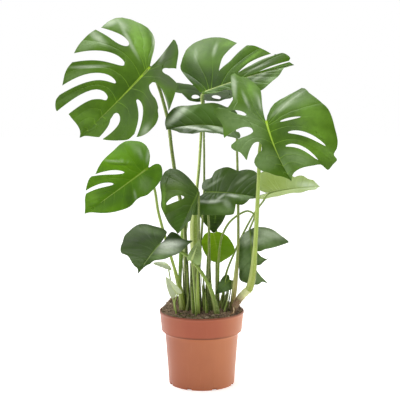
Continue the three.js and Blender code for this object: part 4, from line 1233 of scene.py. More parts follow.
def bladeMesh(leaf, materials):
    chance = random.Random("blade " + leaf["name"])
    values, faces = bladeNet(leaf, chance)
    u, v, ribGap, rise, gap, out, herring = values.T
    flat = bladePoint(leaf, u, v)
    scale = min(1, leaf["length"] / blade["smallUnder"])
    middle = flat + cornerNormals(flat, faces) * (rise * scale)[:, None]
    normals = cornerNormals(middle, faces)
    half = (blade["thick"] + (blade["edgeThick"] - blade["thick"]) * smooth(out * 4 - 3)) / 2
    veinWide = blade["veinWide"] - blade["veinTaper"] * out
    vein = np.exp(-(gap / veinWide) ** 2) * smooth(out / 0.06) * (1 - 0.6 * out)
    tipward = np.clip(u / leaf["length"], 0, 1)
    rib = np.exp(-(ribGap / (blade["ribWide"] - blade["ribTaper"] * tipward)) ** 2)
    groove = np.maximum(blade["veinGroove"] * vein, blade["ribGroove"] * rib)
    top = middle + normals * (half - scale * groove)[:, None]
    bottom = middle - normals * (half + scale * blade["veinRidge"] * vein)[:, None]
    count = len(middle)
    rings = [list(face) for face in faces] + [[count + k for k in reversed(face)] for face in faces]
    rim = set()
    for face in faces:
        for a, b in zip(face, face[1:] + face[:1]):
            if (b, a) in rim:
                rim.remove((b, a))
            else:
                rim.add((a, b))
    rimStart = len(rings)
    rings += [[b, a, count + a, count + b] for a, b in sorted(rim)]
    mesh = bpy.data.meshes.new("blade_" + leaf["name"])
    mesh.from_pydata((np.vstack([top, bottom]) * mm).tolist(), [], rings)
    ribShow = ribTone.get(leaf["name"], 1) * (1 - smooth((tipward - 0.3) / 0.5) * 0.75)
    layers = {"veinGap": gap, "ribGap": ribGap, "outward": out, "herring": herring, "tipward": tipward,
        "ribShow": ribShow}
    for name, numbers in layers.items():
        store(mesh, name, np.tile(numbers, 2))
    tint = np.tile(strokeToneAndPaintedLight(leaf, v, flat), (2, 1)).astype(np.float32)
    mesh.attributes.new("tint", "FLOAT_COLOR", "POINT").data.foreach_set("color", tint.ravel())
    for material in materials:
        mesh.materials.append(material)
    mesh.polygons.foreach_set("material_index", [0] * len(faces) + [1] * (len(rings) - len(faces)))
    mesh.polygons.foreach_set("use_smooth", [True] * len(rings))
    box = np.array([u.min(), v.min(), u.max() - u.min(), v.max() - v.min()])
    spread = np.tile(np.stack([(u - box[0]) / box[2], (v - box[1]) / box[3]], 1), (2, 1))
    loops = np.zeros(len(mesh.loops), int)
    mesh.loops.foreach_get("vertex_index", loops)
    mesh.uv_layers.new(name="BladeMap").data.foreach_set("uv", spread[loops].ravel().astype(np.float32))
    shell = bmesh.new()
    shell.from_mesh(mesh)
    for edge in shell.edges:
        if len({face.index >= rimStart for face in edge.link_faces}) > 1:
            edge.smooth = False
    shell.to_mesh(mesh)
    shell.free()
    return mesh


def bladeMaterial(name, look, upper):
    material, nodes = newMaterial(name)
    place = objectPlace(nodes)
    out, tipward = attribute(nodes, "outward"), attribute(nodes, "tipward")
    gap, ribGap = attribute(nodes, "veinGap"), attribute(nodes, "ribGap")
    broad, mottle, fine = (grain(nodes, place, *blade[key + "Grain"])
        for key in ("broad", "mottle", "fine"))
    # thin side veins at even steps, then the veins and the midrib
    net = attribute(nodes, "herring") / blade["veinletStep"]
    line = (net - net.math("FLOOR", net) - 0.5).size()
    netMask = ((line - 0.42) * 12).within()
    veinMask = ((blade["veinLine"] - out * 0.9 - gap) * 1.3).within() * (1 - out * 0.8)
    ribMask = ((blade["ribLine"] - tipward * 4 - ribGap) * 0.8).within() * attribute(nodes, "ribShow")
    tint = nodes.add("ShaderNodeAttribute", {"attribute_name": "tint"}, out="Color")
    share = nodes.add("ShaderNodeAttribute", {"attribute_name": "tint"}, out="Alpha")
    if upper:
        shade = (broad * 0.55 + mottle * 0.3 + out * 0.15).within()
        tone = mixed(nodes, shade, look["deep"], look["fresh"])
        # the strokes: the leaf's own greens, painted sheen and highlights and painted shade
        tone = mixed(nodes, (share * (0.7 + mottle * 0.6)).within(), tone, tint)
        tone = mixed(nodes, netMask * blade["veinletShare"], tone, look["vein"])
        veinShare = look.get("veinShare", blade["veinShare"])
        tone = mixed(nodes, veinMask * veinShare, tone, look["vein"])
        tone = mixed(nodes, ribMask * blade["ribShare"], tone, look["rib"])
        rough = look["roughness"] + mottle * 0.12 - veinMask * 0.05
        height = fine * 0.35 + mottle * 0.6 - netMask * 0.35
        gloss, coat = look.get("shine", blade["shine"]), {"Coat Weight": 0.06, "Coat Roughness": 0.25}
    else:
        darker = [c - 16 for c in look["under"]]
        tone = mixed(nodes, (broad * 0.5 + mottle * 0.5).within(), look["under"], darker)
        # on leaves seen from both faces the strokes, with their painted sheen, lie on the lower face too
        if look.get("bothFaces"):
            tone = mixed(nodes, (share * (0.8 + mottle * 0.4)).within(), tone, tint)
        for mask in (netMask * 0.35, veinMask * 0.9, ribMask):
            tone = mixed(nodes, mask, tone, look["underVein"])
        rough = 0.55 + mottle * 0.1
        height = fine * 0.3 + mottle * 0.4 + netMask * 0.5
        gloss, coat = 0.3, None
    skin = bumped(nodes, height, blade["skinDepth"] * mm, 0.6)
    finishMaterial(nodes, tone, rough, gloss, skin, coat)
    return material


def pathThrough(points, radii, step):
    # Points every step along a smooth curve, with the radius and the share of the way at each
    p = [np.array(point, float) for point in points]
    p = [2 * p[0] - p[1], *p, 2 * p[-1] - p[-2]]
    centres, widths = [], []
    for k in range(1, len(p) - 2):
        x0, x1, x2, x3 = p[k - 1:k + 3]
        d0, d1, d2 = (max(np.linalg.norm(b - a), 1e-3) ** 0.5 for a, b in ((x0, x1), (x1, x2), (x2, x3)))
        m1 = ((x1 - x0) / d0 - (x2 - x0) / (d0 + d1) + (x2 - x1) / d1) * d1
        m2 = ((x2 - x1) / d1 - (x3 - x1) / (d1 + d2) + (x3 - x2) / d2) * d1
        count = max(1, round(np.linalg.norm(x2 - x1) / step))
        for t in [j / count for j in range(count + (k == len(p) - 3))]:
            square, cube = 3 * (x2 - x1) - 2 * m1 - m2, 2 * (x1 - x2) + m1 + m2
            centres.append(x1 + m1 * t + square * t**2 + cube * t**3)
            widths.append(radii[k - 1] + (radii[k] - radii[k - 1]) * t)
    centres = np.array(centres)
    way = np.concatenate([[0], np.cumsum(np.linalg.norm(np.diff(centres, axis=0), axis=1))])
    return centres, np.array(widths), way / way[-1]


def pathMesh(centres, widths, share, lines=None):
    # A line of vertices, or several, that carries its thickness and how far along it each one is
    mesh = bpy.data.meshes.new("path")
    lines = lines or [(i, i + 1) for i in range(len(centres) - 1)]
    mesh.from_pydata((centres * mm).tolist(), lines, [])
    store(mesh, "thickness", widths * mm)
    store(mesh, "reach", share)
    return mesh


def tubeTree():
    # A closed tube along a path; Flat squashes its section and Grain roughens its skin. How far each
    # point of the skin turns to the upper left is kept for the painted highlight and painted shade of
    # its colour.
    inputs = {"Sides": "Int", "Flat": "Float", "Grain": "Float", "Material": "Material"}
    tree, nodes, entry = newTree("tube_along_path", inputs)
    sockets = {"Name": "thickness"}
    thickness = nodes.add("GeometryNodeInputNamedAttribute", {"data_type": "FLOAT"}, sockets)
    path = nodes.add("GeometryNodeMeshToCurve", {}, {"Mesh": entry["Geometry"]})
    sockets = {"Resolution": entry["Sides"], "Radius": 1.0}
    ring = nodes.add("GeometryNodeCurvePrimitiveCircle", {}, sockets)
    squash = nodes.add("ShaderNodeCombineXYZ", {}, {"X": 1.0, "Y": entry["Flat"], "Z": 1.0})
    section = nodes.add("GeometryNodeTransform", {}, {"Geometry": ring, "Scale": squash})
    sockets = {"Curve": path, "Profile Curve": section, "Scale": thickness, "Fill Caps": True}
    tube = nodes.add("GeometryNodeCurveToMesh", {}, sockets)
    sockets = {"Scale": stalkLook["wanderScale"], "Detail": 2.0}
    wander = nodes.add("ShaderNodeTexNoise", {}, sockets, "Fac") - 0.5
    outward = nodes.add("GeometryNodeInputNormal")
    sockets = {0: outward, "Scale": wander * entry["Grain"]}
    shift = nodes.add("ShaderNodeVectorMath", {"operation": "SCALE"}, sockets)
    rough = nodes.add("GeometryNodeSetPosition", {}, {"Geometry": tube, "Offset": shift})
    # which way the skin faces the upper left, for the painted highlight and painted shade of the stalks
    sockets = {0: outward, 1: stalkLook["paintedLightFrom"]}
    lit = nodes.add("ShaderNodeVectorMath", {"operation": "DOT_PRODUCT"}, sockets, "Value")
    rough = nodes.add("GeometryNodeStoreNamedAttribute", {"data_type": "FLOAT", "domain": "POINT"},
        {"Geometry": rough, "Name": "sunward", "Value": lit})
    endTree(nodes, rough, entry["Material"])
    return tree


def scatterTree():
    # Crumbs thrown over a surface, each turned and squashed by chance
    inputs = {"Density": "Float", "Smallest": "Float", "Largest": "Float", "Longest": "Float",
        "Lift": "Float", "Seed": "Int", "Detail": "Int", "Material": "Material"}
    tree, nodes, entry = newTree("scattered_crumbs", inputs)
    sockets = {"Mesh": entry["Geometry"], "Density": entry["Density"], "Seed": entry["Seed"]}
    points = nodes.add("GeometryNodeDistributePointsOnFaces", {"distribute_method": "RANDOM"}, sockets)

    def drawn(least, most, seed, isVector=True):
        # A random vector or number for each crumb
        kind, first = ("FLOAT_VECTOR", 0) if isVector else ("FLOAT", 2)
        limits = {first: least, first + 1: most, "Seed": seed}
        return nodes.add("FunctionNodeRandomValue", {"data_type": kind}, limits, first // 2)

    size = drawn(entry["Smallest"], entry["Largest"], entry["Seed"], False)
    shape = drawn(*soil["crumbShape"], 7)
    stretch = nodes.add("ShaderNodeCombineXYZ", {}, {"X": entry["Longest"], "Y": 1.0, "Z": 1.0})
    shape = nodes.add("ShaderNodeVectorMath", {"operation": "MULTIPLY"}, {0: shape, 1: stretch})
    shape = nodes.add("ShaderNodeVectorMath", {"operation": "SCALE"}, {0: shape, "Scale": size})
    turn = drawn(*soil["crumbTurn"], 3)
    crumb = nodes.add("GeometryNodeMeshIcoSphere", {}, {"Radius": 1.0, "Subdivisions": entry["Detail"]})
    sockets = {"Points": points, "Instance": crumb, "Rotation": turn, "Scale": shape}
    crumbs = nodes.add("GeometryNodeInstanceOnPoints", {}, sockets)
    shade = drawn(0.0, 1.0, 11, False)
    crumbs = nodes.add("GeometryNodeStoreNamedAttribute", {"data_type": "FLOAT", "domain": "INSTANCE"},
        {"Geometry": crumbs, "Name": "shade", "Value": shade})
    lift = nodes.add("ShaderNodeCombineXYZ", {}, {"Z": entry["Lift"]})
    crumbs = nodes.add("GeometryNodeSetPosition", {}, {"Geometry": crumbs, "Offset": lift})
    endTree(nodes, crumbs, entry["Material"])
    return tree


# Stalks: how they stand in the soil, and their colours from there to the blade
stalkLook = {
    "stemDepth": 48,
    "sheath": 0.15,          # where the thick sheath ends, as a share of the way
    "sheathFade": 0.1,
    # the rib under the blade: shares of the midrib, least and most radius, and how it thins out
    "ribPlaces": (0.12, 0.3, 0.5, 0.7, 0.9),
    "ribLeast": 0.45,
    "ribMost": 2.2,
    "ribPower": 1.6,
    "sides": 20,
    "step": 7,
    # most tones darken towards the foot: painted shade low among the crowded stalks, deepest in the dark
    # tone
    "tones": {
        "green": [(80, 94, 24), (112, 140, 34), (114, 142, 50), (146, 172, 70)],
        "dark": [(36, 46, 10), (68, 86, 20), (100, 124, 40), (130, 156, 58)],
        "pale": [(146, 158, 58), (158, 184, 70), (130, 158, 62), (152, 178, 76)],
        "tan": [(222, 192, 132), (124, 134, 62), (100, 124, 50), (140, 164, 76)],
        "sheath": [(78, 94, 28), (128, 150, 52), (112, 140, 58), (84, 108, 40)],
    },
    "toneOf": {
        "left": "pale", "upper_right": "pale", "sprout": "pale", "sprout_folded": "pale",
        "middle": "tan", "upper_middle": "sheath", "back": "dark", "inner_dark": "dark",
        "upper_left": "dark", "front_left": "dark", "front_right": "dark"
    },
    "tonePlaces": [0.04, 0.26, 0.8, 1.0],    # where each of a tone's four colours lies along the stalk
    "fleck": (176, 192, 116),
    "blotch": (190, 200, 170),
    # painted light on the stalks: a painted highlight on the side towards the upper left, painted shade
    # on the side away
    "paintedLightFrom": (-0.92, -0.3, 0.25),
    "paintedLitSide": (218, 228, 152),
    "paintedShadedSide": (46, 60, 16),
    "paintedLitShare": 0.45,
    "sheathPaintedLitShare": 1.0,
    "paintedShadedShare": 0.6,
    "blotchShare": 0.5,
    "streakShare": 0.2,
    "grain": 0.5,
    "wanderScale": 70.0,
    # stretch, then scale, detail and contrast of the noise
    "streakGrain": ((1, 1, 0.12), 220, 3, 1.8),
    "blotchGrain": ((1, 1, 1), 26, 3, 2),
    "fleckGrain": ((1, 1, 0.35), 520, 2, 3),
}


def stalkMaterial(name, tones, paintedLitShare):
    material, nodes = newMaterial(name)
    streak, blotch, fleck = (stretchedGrain(nodes, *stalkLook[key + "Grain"])
        for key in ("streak", "blotch", "fleck"))
    tone = ramp(nodes, attribute(nodes, "reach"), zip(stalkLook["tonePlaces"], tones))
    # painted highlight on the side towards the light, painted shade on the side away
    side = attribute(nodes, "sunward")
    tone = mixed(nodes, ((side - 0.35) * 2.5).within() * paintedLitShare, tone, stalkLook["paintedLitSide"])
    away = ((-0.2 - side) * 1.4).within()
    tone = mixed(nodes, away * stalkLook["paintedShadedShare"], tone, stalkLook["paintedShadedSide"])
    tone = mixed(nodes, blotch * stalkLook["blotchShare"], tone, stalkLook["blotch"], "MULTIPLY")
    tone = mixed(nodes, streak * stalkLook["streakShare"], tone, stalkLook["fleck"])
    tone = mixed(nodes, ((fleck - 0.72) * 2.2).within(), tone, stalkLook["fleck"])
    skin = bumped(nodes, streak * 0.7 + fleck * 0.3, 0.4 * mm, 0.7)
    coat = {"Coat Weight": 0.05, "Coat Roughness": 0.3}
    finishMaterial(nodes, tone, 0.42 + streak * 0.14, 0.3, skin, coat)
    return material


def stalkPath(leaf, rhizomeEnd):
    # The stalk from its foot in the soil to the junction, then the rib under the blade
    stalk = leaf["stalk"]
    route = [list(map(float, point)) for point in stalk["route"]]
    base, neck, top = stalk["base"], stalk["neck"], stalk["top"]
    sheath, fade = stalk.get("sheath", stalkLook["sheath"]), stalkLook["sheathFade"]
    if stalk.get("fromRhizome"):
        route = [list(rhizomeEnd), *route]
    way = np.concatenate([[0], np.cumsum(np.linalg.norm(np.diff(np.array(route), axis=0), axis=1))])
    share = way / way[-1]
    closing = base + (neck - base) * smooth((share - sheath) / fade)
    thinning = neck + (top - neck) * (share - sheath) / (1 - sheath)
    radii = np.where(share < sheath + fade, closing, thinning)
    if not stalk.get("fromRhizome"):
        x, y, z = route[0]
        route = [[x, y, z - stalkLook["stemDepth"]], *route]
        radii = np.array([base, *radii])
    slope = math.cos(math.radians(min(0, leaf["left"]["fold"], leaf["right"]["fold"])))
    # the rib: how far along the midrib, how thick and how far under the blade
    ribs = [(-5, top * 1.1, 3.5), (4, top * 0.85, 0.2)]
    for t in stalkLook["ribPlaces"]:
        thick = stalkLook["ribMost"] * (1 - t) ** stalkLook["ribPower"] * min(1, top / 4)
        ribs.append((leaf["length"] * t, stalkLook["ribLeast"] + thick, 0))
    for u, radius, drop in ribs:
        route.append(bladePoint(leaf, u, 0, -(radius + 0.1) / slope - drop))
        radii = np.append(radii, radius)
    return pathThrough(route, radii, stalkLook["step"])


pot = {
    "height": 210,
    "rimRadius": 120,
    "bandRadius": 114,
    "bandHeight": 56,
    "shoulderDrop": 8,
    "bodyRadius": 104,
    "baseRadius": 93,
    "wall": 2.5,
    "floor": 12,
    "foot": 6,
    "drainHoles": 8,
    "drainWidth": 14,
    "drainLength": 9,
    "sides": 160,
    "sharpFrom": 38,         # degrees
    "lip": 1.2,              # how far the rolled rim stands out of the band, its depth and its wall
    "lipDepth": 7,
    "lipWall": 0.4,
    # heights of the rings of the straight walls
    "bodyRings": (12, 30, 60, 90, 115, 132),
    "bandRings": (165, 180, 192, 201),
    "innerRings": (205, 190, 175, 158),
    # corners worn round: how far out and how far up from the place that each starts at
    "footRound": [(-1.6, 0), (-0.5, 0.4), (0, 1.6)],
    "shoulderRound": [(-0.4, -3), (0.4, -0.6), (2.2, 1.2)],
    "bandRound": [(-2.4, -2.6), (-0.7, -1.2), (0, 1), (0.35, 4)],
    "rimRound": [(-1.0, -7), (-0.1, -5.6), (0, -3.4), (-0.3, -1.6), (-1.0, -0.4), (-1.9, 0),
        (-2.8, -0.4), (-3.4, -1.6)],
    "plastic": (178, 102, 60),
    "plasticWorn": (196, 128, 90),
    "plasticDeep": (158, 84, 46),
    # painted shade on the left side and painted light on the right side
    "shaded": (148, 74, 44),
    "paintedSideLight": (192, 122, 78),
    "paintedSideWidth": 90,
    # painted shade on the middle of the band, under the leaves
    "band": (152, 62, 32),
    # painted shadow just below the band
    "creaseShadow": (82, 38, 24),
    "creaseHeight": 151,
    "creaseWidth": 5,
    "creaseFade": 80,
    # darker at the top of the rim
    "rimTopDark": (112, 62, 42),
    "rimDarkFrom": 204,
    "shadedShare": 0.7,
    "paintedSideLightShare": 0.6,
    "bandShadeShare": 0.7,
    "rimDarkShare": 0.6,
    "creaseShadowShare": 0.95,
    # stretch, then scale, detail and contrast of the noise
    "cloudGrain": ((1, 1, 1), 9, 3, 1.8),
    "speckGrain": ((1, 1, 1), 260, 3, 1.6),
    "scuffGrain": ((1, 1, 0.06), 120, 3, 2.4),
}


def potMaterial():
    material, nodes = newMaterial("terracotta_plastic")
    place = objectPlace(nodes)
    cloud, speck, scuff = (stretchedGrain(nodes, *pot[key + "Grain"])
        for key in ("cloud", "speck", "scuff"))
    across = nodes.add("ShaderNodeSeparateXYZ", {}, {0: place}, "X")
    high = nodes.add("ShaderNodeSeparateXYZ", {}, {0: place}, "Z")
    tone = mixed(nodes, cloud * 0.7, pot["plastic"], pot["plasticDeep"])
    tone = mixed(nodes, ((scuff - 0.7) * 1.2).within() * 0.35 + speck * 0.1, tone, pot["plasticWorn"])
    # painted shade on the left and painted light on the right
    sideways = across / (pot["paintedSideWidth"] * mm)
    tone = mixed(nodes, (0 - sideways).within() * pot["shadedShare"], tone, pot["shaded"])
    tone = mixed(nodes, sideways.within() * pot["paintedSideLightShare"], tone, pot["paintedSideLight"])
    # painted shade on the band and a painted shadow just below it, which both weaken towards the sides,
    # and the rim darker at its top
    above = high - pot["creaseHeight"] * mm
    creaseShadow = (1 - above.size() / (pot["creaseWidth"] * mm)).within()
    middle = (1.5 - across.size() / (pot["creaseFade"] * mm)).within()
    bandShade = (above / (4 * mm)).within() * middle
    tone = mixed(nodes, bandShade * pot["bandShadeShare"], tone, pot["band"])
    rimTop = ((high - pot["rimDarkFrom"] * mm) / (3 * mm)).within()
    tone = mixed(nodes, rimTop * pot["rimDarkShare"], tone, pot["rimTopDark"])
    tone = mixed(nodes, creaseShadow * middle * pot["creaseShadowShare"], tone, pot["creaseShadow"])
    rough = 0.34 + speck * 0.14 + creaseShadow * 0.4
    skin = bumped(nodes, speck * 0.5 + scuff * 0.5, 0.25 * mm, 0.5)
    finishMaterial(nodes, tone, rough, 0.45, skin)
    return material


def potOutline():
    # The section of the turned shell, from the foot up, over the rim and down inside: radius and height
    body, band, rim, base = (pot[part + "Radius"] for part in ("body", "band", "rim", "base"))
    top, wall = pot["height"], pot["wall"]
    edge = top - pot["bandHeight"]
    shoulder = edge - pot["shoulderDrop"]
    slope = (body - base) / shoulder
    rise = (rim - pot["lip"] - band) / (top - pot["lipDepth"] - edge)
    outline = [(base + out, up) for out, up in pot["footRound"]]
    outline.append((base + slope * pot["foot"], pot["foot"] + 0.2))
    outline += [(base + slope * z, z) for z in pot["bodyRings"]]
    outline += [(body + out, shoulder + up) for out, up in pot["shoulderRound"]]
    outline += [(band + out, edge + up) for out, up in pot["bandRound"]]
    outline += [(band + rise * (z - edge), z) for z in pot["bandRings"]]
    outline += [(rim + out, top + up) for out, up in pot["rimRound"]]
    outline += [(band + rise * (z - edge) - wall - pot["lipWall"], z) for z in pot["innerRings"]]
    return outline + [(body - wall, shoulder), (base + slope * pot["floor"] - wall, pot["floor"])]


def potMesh(material):
    # The turned shell; the drain notches lift the foot's vertices at their places round it
    angles = {k * 2 * math.pi / pot["sides"] for k in range(pot["sides"])}
    notches = [(k + 0.5) * 2 * math.pi / pot["drainHoles"] for k in range(pot["drainHoles"])]
    half = pot["drainWidth"] / 2 / pot["baseRadius"]
    for notch in notches:
        angles = {a for a in angles if abs(abs(a - notch) - half) > 0.012}
        angles.update(notch + side * (half + step) for side in (-1, 1) for step in (-0.004, 0.004))
    angles = sorted(angles)
    inner = pot["baseRadius"] - pot["drainLength"]
    outline = [(inner, 0), *potOutline()]
    lifted = len(pot["footRound"]) + 1
    rings = [(radius, z, i < lifted) for i, (radius, z) in enumerate(outline)]
    # a last ring closes the underside inside the notches
    rings.append((inner - 0.05, 0, False))
    points = []
    for radius, z, notched in rings:
        for a in angles:
            inside = notched and min(abs(a - notch) for notch in notches) < half
            points.append((radius * math.cos(a), radius * math.sin(a), pot["foot"] if inside else z))
    points += [(0, 0, 0), (0, 0, pot["floor"])]
    count = len(angles)
    last, under = (len(outline) - 1) * count, len(outline) * count
    faces = []
    for j in range(count):
        k = (j + 1) % count
        for start in range(0, last, count):
            faces.append((start + j, start + k, start + count + k, start + count + j))
        faces.append((under + j, under + k, k, j))
        faces.append((under + k, under + j, under + count))
        faces.append((last + j, last + k, under + count + 1))
    mesh = bpy.data.meshes.new("nursery_pot")
    mesh.from_pydata([tuple(c * mm for c in point) for point in points], [], faces)
    mesh.materials.append(material)
    return mesh


def tidied(mesh, angle=None):
    # Merges doubles, turns every face outwards and shades smooth, apart from edges sharper than angle
    shell = bmesh.new()
    shell.from_mesh(mesh)
    bmesh.ops.remove_doubles(shell, verts=shell.verts, dist=1e-6)
    bmesh.ops.recalc_face_normals(shell, faces=shell.faces)
    for face in shell.faces:
        face.smooth = True
    for edge in shell.edges:
        if angle and len(edge.link_faces) == 2 and edge.calc_face_angle() > math.radians(angle):
            edge.smooth = False
    shell.to_mesh(mesh)
    shell.free()
    return mesh


soil = {
    "top": 202,
    "heap": 12,
    "radius": 115.5,
    "rimLine": 206,
    "wall": [(112, 172), (110.5, 160), (100.8, 144), (90.5, 14)],    # radius and height
    "rings": 46,
    "sides": 140,
    "dark": (96, 80, 68),
    "brown": (166, 144, 120),
    "pale": (212, 198, 172),
    "moss": (112, 128, 58),
    "mossDark": (66, 84, 38),
    "mossPale": (150, 160, 80),
    "speck": (150, 140, 128),
    "speckShare": 0.6,
    # scale, detail and contrast of the noise
    "lumpGrain": (60, 4, 2),
    "crumbGrain": (300, 4, 2),
    "dustGrain": (1400, 2, 2),
    "speckGrain": (700, 3, 2),
    # x, y, spread and height
    "mounds": [(-84, 46, 19, 26), (-56, 76, 22, 16), (-30, 92, 26, 8), (34, 96, 26, 8), (84, 62, 24, 10),
        (100, 24, 13, 11), (60, -60, 16, 3)],
    # how far apart the waves of the surface lie, how high they are and a shift
    "waves": [(22, 3.4, 1), (8, 1.8, 4), (3, 0.8, 9)],
    # fine and coarse crumbs and fibres: how many to the square metre, half sizes in mm, how many
    # times longer than wide, faces and seed
    "crumbs": [(76000, 0.8, 2.0, 1.2, 1, 5), (19000, 1.9, 4.4, 1.3, 2, 6), (9000, 0.5, 1.1, 9.0, 1, 8)],
    "crumbRadius": 113,
    "crumbLift": 0.4,
    # the least and the most of a crumb's shape and of its turn in radians
    "crumbShape": [(0.7, 0.6, 0.5), (1.0, 1.0, 0.9)],
    "crumbTurn": [(-0.6, -0.6, 0.0), (0.6, 0.6, 6.28)],
    "tufts": (90000, 0.7, 1.7, 1.0, 1, 21),
    "tuftLift": 1.0,
    "mossPatches": [(-62, -72, 34), (-20, -96, 22), (34, -92, 18)],   # x, y and radius
    "mossRadius": 112,
}


def soilHeight(x, y):
    height = soil["top"] + soil["heap"] * (1 - (x * x + y * y) / soil["radius"] ** 2)
    for moundX, moundY, spread, rise in soil["mounds"]:
        height += rise * math.exp(-((x - moundX) ** 2 + (y - moundY) ** 2) / (2 * spread**2))
    for wide, rise, shift in soil["waves"]:
        height += rise * noise.noise(Vector((x / wide, y / wide, shift)))
    return min(height, soil["rimLine"] + 2 * (soil["radius"] - math.hypot(x, y)))


def soilSurface(isWanted=None):
    # The top of the soil as rings of vertices: the wanted part of it, or all with a wall and a floor
    rings, sides = soil["rings"], soil["sides"]
    points = [(0, 0, soilHeight(0, 0))]
    for i in range(1, rings + 1):
        for j in range(sides):
            angle = 2 * math.pi * j / sides
            radius = soil["radius"] * i / rings
            x, y = radius * math.cos(angle), radius * math.sin(angle)
            points.append((x, y, soilHeight(x, y)))
    faces = [(0, 1 + j, 1 + (j + 1) % sides) for j in range(sides)]
    for i in range(rings - 1):
        for j in range(sides):
            a, b = 1 + i * sides + j, 1 + i * sides + (j + 1) % sides
            faces.append((a, a + sides, b + sides, b))
    if isWanted:
        faces = [face for face in faces if isWanted(*points[face[0]][:2])]
    else:
        edge = 1 + (rings - 1) * sides
        for radius, z in soil["wall"]:
            for j in range(sides):
                angle = 2 * math.pi * j / sides
                points.append((radius * math.cos(angle), radius * math.sin(angle), z))
                a, b = edge + j, edge + (j + 1) % sides
                faces.append((a, a + sides, b + sides, b))
            edge += sides
        points.append((0, 0, soil["wall"][-1][1]))
        faces += [(edge + j, edge + sides, edge + (j + 1) % sides) for j in range(sides)]
    mesh = bpy.data.meshes.new("soil")
    mesh.from_pydata([tuple(c * mm for c in point) for point in points], [], faces)
    return mesh


def soilMaterial():
    material, nodes = newMaterial("potting_soil")
    place = objectPlace(nodes)
    lump, crumb, dust = (grain(nodes, place, *soil[key + "Grain"]) for key in ("lump", "crumb", "dust"))
    tone = mixed(nodes, (lump * 0.5 + crumb * 0.5).within(), soil["dark"], soil["brown"])
    tone = mixed(nodes, ((dust - 0.72) * 3).within(), tone, soil["pale"])
    skin = bumped(nodes, crumb + dust * 0.5, 1.8 * mm)
    finishMaterial(nodes, tone, 0.9 + dust * 0.08, 0.15, skin)
    return material


def crumbMaterial(name, dark, mid, pale):
    material, nodes = newMaterial(name)
    stops = [(0.0, dark), (0.55, mid), (0.92, mid), (1.0, pale)]
    tone = ramp(nodes, attribute(nodes, "shade"), stops)
    speck = grain(nodes, objectPlace(nodes), *soil["speckGrain"])
    tone = mixed(nodes, speck * soil["speckShare"], tone, soil["speck"], "MULTIPLY")
    finishMaterial(nodes, tone, 0.85 + speck * 0.1, 0.2, bumped(nodes, speck, 0.6 * mm))
    return material


rhizome = {
    "route": [(90, -26, 214), (97, -32, 234), (113, -41, 259), (131, -50, 278)],
    "radii": [8, 9.5, 10.5, 10.5],
    "scars": [0.3, 0.47, 0.62, 0.76, 0.88],    # old leaf scars: places along it, then ridge and groove
    "scarRise": 0.1,
    "scarWidth": 0.012,
    "grooveDepth": 0.03,
    "groovePlace": 0.03,
    "grooveWidth": 0.01,
    "skin": (164, 136, 108),
    "skinDark": (112, 88, 62),
    "skinPale": (212, 218, 156),
    "sides": 28,
    "step": 1.5,
    "grain": 2.2,
    # stretch, then scale, detail and contrast of the noise in the bark
    "patchGrain": ((1, 1, 1), 60, 4, 2.4),
    "fibreGrain": ((1, 1, 0.3), 330, 3, 2),
}
aerialRoot = {
    "route": [(82, -68, 214), (87, -72, 216), (89, -64, 224), (88, -55, 227)],
    "radius": 1.8,
    "skin": (178, 140, 98),
    "skinPale": (214, 190, 150),
    "sides": 14,
    "grain": 0.8,
}
rolledLeaf = {
    "route": [(-62, 26, 214), (-62, 30, 300), (-60, 34, 345), (-54, 36, 407), (-48, 38, 445),
        (-36, 40, 490)],
    "radii": [5, 5, 6, 9, 8, 1],
    "sides": 36,
    "step": 5,
    "overlap": 0.16,
    "twist": 1.4,
    "sharpFrom": 50,         # degrees
    "tones": [(60, 74, 22), (104, 140, 38), (122, 158, 50), (104, 140, 38)],
}


def rooted(piece):
    # A piece's route, carried down into the soil
    x, y, z = piece["route"][0]
    return [(x, y, z - stalkLook["stemDepth"]), *piece["route"]]


def barkMaterial(name, skin, dark, pale):
    material, nodes = newMaterial(name)
    reach = attribute(nodes, "reach")
    patch = stretchedGrain(nodes, *rhizome["patchGrain"])
    fibre = stretchedGrain(nodes, *rhizome["fibreGrain"])
    tone = mixed(nodes, patch, skin, dark)
    tone = mixed(nodes, ((reach - 0.66) * 5).within() * 0.85, tone, pale)
    tone = mixed(nodes, ((fibre - 0.6) * 1.6).within() * 0.5, tone, pale)
    relief = bumped(nodes, patch * 0.5 + fibre * 0.5, 1.2 * mm)
    finishMaterial(nodes, tone, 0.7 + fibre * 0.15, 0.25, relief)
    return material


def addPot():
    mesh = tidied(potMesh(potMaterial()), pot["sharpFrom"])
    declared(newPiece("nursery_pot", mesh), "pot", "terracotta_plastic")
    print("pot:", len(mesh.polygons), "faces")


def thrown(scatter, surface, layer, lift, material):
    density, smallest, largest, longest, detail, seed = layer
    values = {"Density": float(density), "Smallest": smallest * mm, "Largest": largest * mm,
        "Longest": longest, "Lift": lift * mm, "Seed": seed, "Detail": detail, "Material": material}
    return grown(surface, scatter, values)


def addSoil(scatter):
    def hasCrumbs(x, y):
        return math.hypot(x, y) < soil["crumbRadius"]

    whole = tidied(soilSurface())
    whole.materials.append(soilMaterial())
    bits = crumbMaterial("soil_crumbs", soil["dark"], soil["brown"], soil["pale"])
    meshes = [whole]
    for layer in soil["crumbs"]:
        meshes.append(thrown(scatter, soilSurface(hasCrumbs), layer, soil["crumbLift"], bits))
    declared(joined("soil_surface", meshes), "soil", "soil")
    moss = crumbMaterial("moss_tufts", soil["mossDark"], soil["moss"], soil["mossPale"])
    *tufts, seed = soil["tufts"]
    patches = []
    for k, (patchX, patchY, size) in enumerate(soil["mossPatches"]):
        def hasMoss(x, y):
            return math.hypot(x - patchX, y - patchY) < size and math.hypot(x, y) < soil["mossRadius"]

        layer = (*tufts, seed + k)
        patches.append(thrown(scatter, soilSurface(hasMoss), layer, soil["tuftLift"], moss))
    declared(joined("soil_moss", patches), None, "soil")
    print("soil and crumbs")


